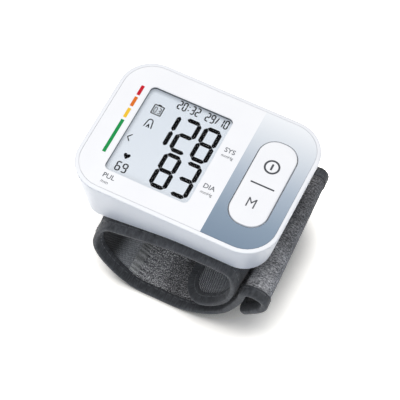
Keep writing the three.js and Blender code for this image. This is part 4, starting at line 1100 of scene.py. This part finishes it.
def edgeTape(tree):
    # smooth woven tape with fine cross ribs
    plain = clothPlace(tree)
    ribs = wave(tree, plain, scale=0.5, distortion=0.8)
    colour = mottled(tree, clothPlace(tree, 0, (2.2, 0.5, 1)), 0.8, 3, tone(60, 62, 65), tone(90, 92, 96))
    worn = mottled(tree, plain, 0.32, 3, tone(204, 204, 206), white, (0.3, 0.65))
    tape = multiplied(tree, colour, worn)
    clothShader(tree, tape, bump(tree, ribs, 0.35, 0.15), roughness=0.7, sheen=0.1)


def sewingThread(tree):
    twist = noise(tree, objectPlace(tree), 2400)
    colour = ramp(tree, twist, (0.35, tone(74, 76, 79)), (0.65, tone(96, 98, 101)))
    clothShader(tree, colour, bump(tree, twist, 0.5, 0.1), roughness=0.7, sheen=0.3)


def hookTape(tree):
    # rows of fine stiff hooks
    hooks = node(tree, "ShaderNodeTexVoronoi", {
        "Vector": clothPlace(tree), "Scale": 1.25, "Randomness": 0.25,
    }).outputs["Distance"]
    colour = ramp(tree, hooks, (0.1, tone(60, 61, 64)), (0.5, tone(22, 23, 25)))
    clothShader(tree, colour, bump(tree, hooks, 1.0, 0.4), roughness=0.6, sheen=0.1)


# the strap's painted light and shade is given in the same way: across the cloth, lighter towards the front
# edge and darker towards the rear
strapFleece = newFinish(
    "strapFleece", brushedFleece, (tone(32, 32, 34), tone(64, 64, 66), tone(104, 103, 105)))
wristFleece = newFinish(
    "wristFleece", brushedFleece, (tone(46, 46, 48), tone(112, 111, 113), tone(216, 215, 217)),
    # painted light near the seam and at the front edge, painted shade towards the rear
    paler=(seam + 2, seam + 20, 2.6, 0.75), rubbed=(-30, 12, 1.9, 0.5),
    gathers=(seam + 2, seam + 12, 0.6, 0.0),
    outside={
        # the lighter calm stretch begins high on the riser, so that the riser below it stays darker as
        # painted shade near the housing
        "from": (seam + 52, seam + 68), "rubbed": (-30, 25, 1.65, 0.7),
        "tones": (tone(76, 76, 78), tone(148, 147, 149), tone(214, 213, 215)),
    })
loopPile = newFinish("loopPile", brushedFleece, (tone(62, 62, 65), tone(104, 104, 107), tone(158, 157, 160)))
# a light stripe, partly its own light colour and partly painted light; painted light at its front edge and
# painted shade towards the rear and in the gathers' hollows
stripeCloth = newFinish(
    "stripeCloth", brushedFleece, (tone(182, 182, 183), tone(240, 240, 240), tone(254, 254, 254)),
    rubbed=(-27, -4, 1.0, 0.32), gathers=(seam - 3, seam + 3, 0.3, 0.45))
coverCloth = newFinish("wovenCover", wovenCover)
liningCloth = newFinish("meshLining", meshLining)
bindingTape = newFinish("bindingTape", edgeTape)
darkThread = newFinish("darkThread", sewingThread)


# padded cuff: cover and lining sewn together, swollen by its bladder

cuffPad = {
    "start": 0.8,
    "front": -30.2,
    "rear": 30.2,
    "corner": 11.2,
    "rows": 76,
    "columns": 27,
    "outer": (1.3, 0.0),  # depth at the edges, which the tape draws in, and in the middle
    "inner": (2.05, 3.35),
    "shoulder": (0.5, 8.5),  # from the edge, where the thickness rises
    "held": 4.4,  # width of the edge that the tape holds
    "swellIn": (-0.2, 1.2),  # least and most, towards the wrist
    "swellOut": (-0.25, 0.2),
    "frames": 18,
    "thinAtSeam": 0.36,  # share of the thickness that is lost where the strap joins
    "thinLength": 12,
}
padCloth = {
    "quality": 6, "mass": 0.3, "tension_stiffness": 18, "compression_stiffness": 18,
    "shear_stiffness": 8, "bending_stiffness": 0.6, "vertex_group_mass": "sewn",
    "use_pressure": True, "uniform_pressure_force": 4.0,
}
cornerTurns = 12  # rows in a rounded end


def thinning(run):
    return 1 - cuffPad["thinAtSeam"] * smoothStep(seam - cuffPad["thinLength"], seam, run)


def thinPad(run, across, depth, side):
    return depth * thinning(run)


def cornerInset(fromEnd, corner):
    gap = np.clip(corner - np.asarray(fromEnd, float), 0, corner)
    return corner - np.sqrt(corner * corner - gap * gap)


def fromOutline(fromEnd, fromSide, corner):
    # distance to the nearest edge of a band with a rounded end
    fromCentre = np.hypot(np.clip(corner - fromEnd, 0, None), np.clip(corner - fromSide, 0, None))
    inCorner = (fromEnd < corner) & (fromSide < corner)
    return np.where(inCorner, corner - fromCentre, np.minimum(fromEnd, fromSide))


def bandRows(start, end, corner, rows, atStart):
    # runs along a band, closer together in its rounded end
    turns = corner * (1 - np.cos(np.linspace(0, math.pi / 2, cornerTurns)))
    if atStart:
        return np.concatenate([start + turns[:-1], np.linspace(start + corner, end, rows)])
    return np.concatenate([np.linspace(start, end - corner, rows), end - turns[::-1][1:]])


def fromSides(band, across):
    return np.minimum(across - band["front"], band["rear"] - across)


def bandRings(band, runs, inset, lift=None, roundStart=None):
    # rings round a band: its outer face from front to rear, then its inner face back
    front, rear, columns = band["front"], band["rear"], band["columns"]
    shares = np.linspace(-1, 1, columns)
    sideShare = np.concatenate([shares, shares[::-1]])
    across = (front + rear) / 2 + sideShare[None, :] * ((rear - front) / 2 - inset)[:, None]
    run = np.repeat(runs[:, None], 2 * columns, axis=1)
    fromEdge = fromSides(band, across)
    if roundStart is not None:
        fromEdge = fromOutline(run - roundStart, fromEdge, band["corner"])
    rise = smoothStep(*band["shoulder"], fromEdge)
    side = np.tile(np.repeat([0.0, 1.0], columns), (len(runs), 1))
    outer, inner = (edge + (middle - edge) * rise for edge, middle in (band["outer"], band["inner"]))
    depth = outer * (1 - side) + inner * side
    if lift is not None:
        depth = lift(run, across, depth, side)
    flat = np.stack([run * mm, across * mm], axis=-1)
    flat = np.concatenate([flat, flat[:, :1]], axis=1)
    return onWrap(run, across, depth), flat, run, across, side


def paintInside(piece, columns):
    # the second material goes on the faces towards the wrist
    for face in piece.data.polygons:
        inner = all(vertex % (2 * columns) >= columns for vertex in face.vertices)
        face.material_index = 1 if inner else 0


def makeCuffPad():
    start, corner = cuffPad["start"], cuffPad["corner"]
    runs = bandRows(start, seam, corner, cuffPad["rows"], True)
    inset = cornerInset(runs - start, corner)
    rings, flat, run, across, side = bandRings(cuffPad, runs, inset, thinPad, start)
    pad = loopMesh("cuff_pad", rings, flat)
    edge = fromOutline(run - start, fromSides(cuffPad, across), corner)
    free = np.minimum(edge, seam - run).ravel()
    pinned = pad.vertex_groups.new(name="sewn")
    pinned.add(np.flatnonzero(free < cuffPad["held"]).tolist(), 1.0, "REPLACE")
    return pad, side.ravel(), run.ravel()


def swellPad(pad, side, run):
    grow = 10.0  # the cloth is simulated at ten times its size, where the solver is steady
    rest = np.array([v.co for v in pad.data.vertices])
    pad.data.vertices.foreach_set("co", (rest * grow).ravel())
    cloth = pad.modifiers.new("swell", "CLOTH")
    for name, value in padCloth.items():
        setattr(cloth.settings, name, value)
    cloth.settings.effector_weights.gravity = 0
    cloth.collision_settings.use_collision = False
    cloth.point_cache.frame_start = 1
    cloth.point_cache.frame_end = cuffPad["frames"]
    for step in range(1, cuffPad["frames"] + 1):
        scene.frame_set(step)
    selectOnly(pad)
    bpy.ops.object.modifier_apply(modifier=cloth.name)
    scene.frame_set(1)
    moved = np.array([v.co for v in pad.data.vertices]) / grow - rest
    x, z = sampled(run, inward)
    normal = np.stack([x, np.zeros(len(run)), z], axis=1)
    least, most = (
        np.where(side > 0.5, *limits) for limits in zip(cuffPad["swellIn"], cuffPad["swellOut"]))
    rise = np.clip((moved * normal).sum(1) / mm, least, most)
    pad.data.vertices.foreach_set("co", (rest + normal * rise[:, None] * mm).ravel())
    print("pad swollen by up to", round(float(rise.max()), 2), "mm")


pad, padSide, padRun = makeCuffPad()
swellPad(pad, padSide, padRun)
dress(pad, coverCloth, liningCloth)
paintInside(pad, cuffPad["columns"])
rounded = pad.modifiers.new("rounded", "SUBSURF")
rounded.levels = rounded.render_levels = 1
selectOnly(pad)
bpy.ops.object.modifier_apply(modifier=rounded.name)
shadeRound(pad)
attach(pad, "monitor")
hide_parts("cuff_cover", "cuff_stiffener", "air_bladder", "cuff_lining")
print("padded cuff made:", len(pad.data.polygons), "faces")


# edge tape: a strip folded over the edge of the cloth and sewn through

tapeFold = {
    "round": 1.1, "roundShare": 0.4, "leastRound": 0.15, "turns": 5,
    "leaf": (1, 0.85, 0.65, 0.45),  # rows of points on a leaf, as shares of its reach
    "drawnFrom": 0.2,  # share of the reach up to which the tape is drawn in by the whole pinch
}
tapeWander = {"seed": 11, "window": 15, "share": 0.02}  # small unevenness along the tape


def foldedSection(tape):
    # points round the folded strip: distance from the edge, depth
    reach, pinch = tape["reach"], tape["pinch"]
    corner = min(tapeFold["round"], tapeFold["roundShare"] * (tape["inner"] - tape["outer"] - 2 * pinch))
    turns = np.linspace(0, math.pi / 2, tapeFold["turns"])
    shares = np.array(tapeFold["leaf"])
    leaf = list(zip(reach * shares, pinch * (1 - smoothStep(tapeFold["drawnFrom"], 1, shares))))

    def face(shrink):
        low, high = tape["outer"] + shrink, tape["inner"] - shrink
        bend = max(corner - shrink, tapeFold["leastRound"])
        middle = shrink + bend
        first = [(middle - bend * math.sin(t), low + pinch + bend - bend * math.cos(t)) for t in turns]
        second = [(middle - bend * math.cos(t), high - pinch - bend + bend * math.sin(t)) for t in turns]
        below = [(place, low + drawn) for place, drawn in leaf]
        above = [(place, high - drawn) for place, drawn in leaf[::-1]]
        return [*below, *first, *second, *above]

    return face(0) + face(tape["cloth"])[::-1]


def tapeMesh(name, edge, section, thin=np.ones_like):
    run, across, inRun, inAcross = edge.T[:, :, None]
    place, depth = np.array(section).T[:, None, :]
    runs = run + place * inRun
    window = np.hanning(tapeWander["window"])
    draws = np.random.default_rng(tapeWander["seed"]).normal(0, 1, len(edge) + len(window) - 1)
    wander = np.convolve(draws, window / window.sum(), mode="valid")
    depths = depth * thin(runs) * (1 + tapeWander["share"] * wander[:, None])
    rings = onWrap(runs, across + place * inAcross, depths)
    length = runLengths(edge[:, :2])
    around = runLengths(np.array(section + section[:1]))
    flat = np.stack(np.broadcast_arrays(length[:, None] * mm, around[None, :] * mm), axis=-1)
    tape = loopMesh(name, rings, flat)
    dress(tape, bindingTape)
    shadeRound(tape)
    return tape, length[-1]


cuffTape = {
    "front": -31, "rear": 31, "corner": 12, "outer": 0.2, "inner": 3.15,
    "pinch": 0.5, "reach": 5.0, "cloth": 0.45, "pastSeam": 0.3,
}
cuffEdge = edgeLine(0, seam + cuffTape["pastSeam"], cuffTape, True)
tape, tapeLength = tapeMesh("cuff_tape", cuffEdge, foldedSection(cuffTape), thinning)
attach(tape, "monitor")
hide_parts("cuff_binding")
print("cuff edge bound:", round(tapeLength), "mm of tape")


# strap: one length of brushed cloth from the cuff's seam to the free end, in three pieces:
# the wrapped length, the fold over the roll, and the end that lifts away

strap = {
    "gap": 0.4,
    "front": -30.2,
    "rear": 32.2,
    "corner": 5.2,
    "tip": 0.8,
    "columns": 84,
    "rowLength": 0.6,
    "outer": (0.55, 0.1),  # depth at the edges and in the middle
    "inner": (1.55, 1.72),
    "shoulder": (1.5, 7.5),
    "least": (0.02, 0.4),  # depth of the outer and the inner face
    "nap": {"height": 0.07, "seed": 5, "from": (3.4, 4.4)},  # it begins where the tape ends
    "gathers": {"height": 0.35, "length": 5.0},
    "foldHalf": 5.2,  # length of the fold on each side of the roll's top
    "sharp": 60,
}
overRoll = wrapPoints[:, 0] > wrapShape["roll"][0] - wrapShape["rollRadius"]
foldRun = float(wrapRun[np.argmax(np.where(overRoll, wrapPoints[:, 1], 0))])
foldStart, foldEnd = foldRun - strap["foldHalf"], foldRun + strap["foldHalf"]
strapSpans = {
    "wrap": (seam + strap["gap"], foldStart),
    "fold": (foldStart, foldEnd),
    "end": (foldEnd, wrapLength),
}


def moveStrap(piece, part):
    if part == "fold":
        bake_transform(piece)
    else:
        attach(piece, {"wrap": "monitor", "end": "free_end"}[part])


def gatherWave(across):
    sway = gatherSway["turn"] * np.sin(gatherSway["rate"] * across)
    return np.sin(2 * math.pi * across / gatherSway["pitch"] + sway)


def strapSurface(run, across, depth, side):
    nap, gathers = strap["nap"], strap["gathers"]
    grain = np.random.default_rng(nap["seed"]).normal(0, 1, depth.shape)
    soft = (grain + np.roll(grain, 1, 0) + np.roll(grain, 1, 1)) / 3
    bare = smoothStep(*nap["from"], fromSides(strap, across))
    out = np.where(side > 0.5, 1, -1)
    fade = np.exp(-(run - seam) / gathers["length"]) * side
    raised = depth + bare * (soft * nap["height"] * out + gathers["height"] * gatherWave(across) * fade)
    return np.maximum(raised, np.where(side > 0.5, *strap["least"][::-1]))


def makeStrap(part):
    start, end = strapSpans[part]
    if part == "end":
        end -= strap["tip"]
        rows = int((end - start - strap["corner"]) / strap["rowLength"])
        runs = bandRows(start, end, strap["corner"], rows, False)
        inset = cornerInset(end - runs, strap["corner"])
    else:
        runs = np.linspace(start, end, int((end - start) / strap["rowLength"]))
        inset = np.zeros(len(runs))
    rings, flat, *_ = bandRings(strap, runs, inset, strapSurface)
    made = loopMesh("strap_" + part, rings, flat)
    dress(made, strapFleece, wristFleece)
    paintInside(made, strap["columns"])
    shadeRound(made, strap["sharp"])
    moveStrap(made, part)
    return made


strapCloths = {part: makeStrap(part) for part in strapSpans}
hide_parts("strap_web")
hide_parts("strap_flap")

strapTape = {
    "front": -31, "rear": 33, "corner": 6, "outer": 0.02, "inner": 2.1,
    "pinch": 0.0, "reach": 4.2, "cloth": 0.42, "step": 1.1,
}
strapSection = foldedSection(strapTape)


def strapEdges(part):
    start, end = strapSpans[part]
    if part == "end":
        return [edgeLine(start, end, strapTape, False)]
    runs = np.linspace(start, end, int((end - start) / strapTape["step"]))
    sides = (("front", 1), ("rear", -1))
    return [np.array([(run, strapTape[side], 0, into) for run in runs]) for side, into in sides]


def bindStrap(part):
    made = [tapeMesh("strap_tape_" + part, edge, strapSection) for edge in strapEdges(part)]
    bound = joined([piece for piece, length in made])
    moveStrap(bound, part)
    return bound


strapTapes = {part: bindStrap(part) for part in strapSpans}
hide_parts("strap_binding_front", "strap_binding_rear")
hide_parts("flap_binding")
print("strap made and bound, folded at", round(foldRun, 1), "mm")


# stitches through the tape, on both faces

stitch = {
    "length": 2.1, "width": 0.46, "height": 0.3, "sides": 8, "pitch": 3.0, "fromEdge": 3.35,
    "dive": 0.45,  # length of each end that goes down into the cloth
    "taper": 0.5,
    "cuffSunk": (0.1, 0.1),  # how deep it lies in the tape's outer and inner face
    "strapSunk": (0.14, 0.0),
}


def stitchShape():
    # a short round thread whose ends dive into the cloth
    straight = stitch["length"] - 2 * stitch["dive"]
    bpy.ops.mesh.primitive_cylinder_add(
        vertices=stitch["sides"], radius=0.5, depth=straight, end_fill_type="NGON",
        rotation=(0, math.pi / 2, 0))
    thread = bpy.context.object
    bpy.ops.object.transform_apply(rotation=True)
    thread.scale = (1, stitch["width"], stitch["height"])
    bpy.ops.object.transform_apply(scale=True)
    for way in (-1, 1):
        pick(thread, "polygons", lambda face: face.normal.x * way > 0.9)
        bpy.ops.object.mode_set(mode="EDIT")
        bpy.ops.mesh.extrude_region_move(
            TRANSFORM_OT_translate={"value": (way * stitch["dive"], 0, -stitch["height"] / 2)})
        bpy.ops.transform.resize(value=(1, stitch["taper"], stitch["taper"]))
        bpy.ops.object.mode_set(mode="OBJECT")
    corners = np.array([v.co for v in thread.data.vertices])
    faces = [tuple(face.vertices) for face in thread.data.polygons]
    bpy.data.objects.remove(thread)
    return corners, faces


stitchCorners, stitchFaces = stitchShape()


def sewLine(edge, tape, sunk, thin=np.ones_like):
    # places of the stitches along an edge: run, across, turn, depth and the way that they face
    length = runLengths(edge[:, :2])
    stops = np.arange(stitch["pitch"], length[-1] - stitch["pitch"] / 2, stitch["pitch"])
    run, across, inRun, inAcross = (np.interp(stops, length, column) for column in edge.T)
    run = run + inRun * stitch["fromEdge"]
    across = across + inAcross * stitch["fromEdge"]
    turn = -np.arctan2(inRun, inAcross)
    rows = []
    for depth, facing in ((tape["outer"] + sunk[0], -1), (tape["inner"] - sunk[1], 1)):
        rows.append(np.stack([run, across, turn, depth * thin(run), facing * np.ones_like(run)], axis=1))
    return np.concatenate(rows)


def sew(name, places):
    points, faces = [], []
    for run, across, turn, depth, facing in places:
        ahead, aside = math.cos(turn), math.sin(turn)
        runs = run + stitchCorners[:, 0] * ahead - stitchCorners[:, 1] * aside
        acrosses = across + stitchCorners[:, 0] * aside + stitchCorners[:, 1] * ahead
        base = len(stitchCorners) * len(points)
        points.append(onWrap(runs, acrosses, depth + facing * stitchCorners[:, 2]))
        faces.extend(tuple(base + k for k in face) for face in stitchFaces)
    piece = newPiece(name, np.concatenate(points), faces)
    bpy.ops.object.shade_smooth()
    dress(piece, darkThread)
    return piece


cuffSewing = sewLine(cuffEdge, cuffTape, stitch["cuffSunk"], thinning)
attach(sew("cuff_stitches", cuffSewing), "monitor")
for part in strapSpans:
    lines = [sewLine(edge, strapTape, stitch["strapSunk"]) for edge in strapEdges(part)]
    moveStrap(sew("strap_stitches_" + part, np.concatenate(lines)), part)
print("sewn through both edges")


# flat strips: the sewn stripe over the seam, and the two fastening patches

def stripMesh(name, strip, span, material, lift=None):
    runs = np.linspace(*span, strip["rows"])
    rings, flat, *_ = bandRings(strip, runs, np.zeros(len(runs)), lift)
    made = loopMesh(name, rings, flat)
    dress(made, material)
    shadeRound(made)
    return made


stripe = {
    "before": 2.4, "after": 2.0, "front": -26.4, "rear": 26.4, "rows": 10, "columns": 120,
    "outer": (0, 0), "inner": (0, 0), "shoulder": (0, 1),  # stripeDrape sets the depth
    "above": 0.25,  # over the cuff's lining
    "low": 2.2,
    "cloth": 0.45,
    "step": (-0.6, 1.4),  # from the seam, where it steps down
    "ripple": 0.2,
}


def stripeDrape(run, across, depth, side):
    # the stripe steps down from the padded cuff to the strap
    top = cuffPad["inner"][1] * thinning(run) + stripe["above"]
    share = smoothStep(*(seam + place for place in stripe["step"]), run)
    base = top * (1 - share) + stripe["low"] * share
    return base + side * stripe["cloth"] + stripe["ripple"] * gatherWave(across) * side


stripeSpan = (seam - stripe["before"], seam + stripe["after"])
sewn = stripMesh("seam_stripe", stripe, stripeSpan, stripeCloth, stripeDrape)
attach(sewn, "monitor")

patches = {
    "front": -23, "rear": 25, "rows": 24, "columns": 60,
    "outer": (-0.58, -0.58), "inner": (-0.17, -0.17), "shoulder": (0, 1),
    "hookLength": 9, "hookMargin": 7.2, "loopLength": 13,
}
hookEnd = wrapLength - patches["hookMargin"]
hookSpan = (hookEnd - patches["hookLength"], hookEnd)
loopSpan = (riserRun - patches["loopLength"] / 2, riserRun + patches["loopLength"] / 2)
patchPieces = {
    "hook_strip": (hookSpan, newFinish("hookTape", hookTape), "hook_patch", "free_end", "black_plastic"),
    "loop_strip": (loopSpan, loopPile, "loop_patch", "monitor", "mottled_pile"),
}
for name, (span, material, solid, body, slot) in patchPieces.items():
    patch = stripMesh(name, patches, span, material)
    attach(patch, body)
    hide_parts(solid)

print("stripe and patches sewn on")
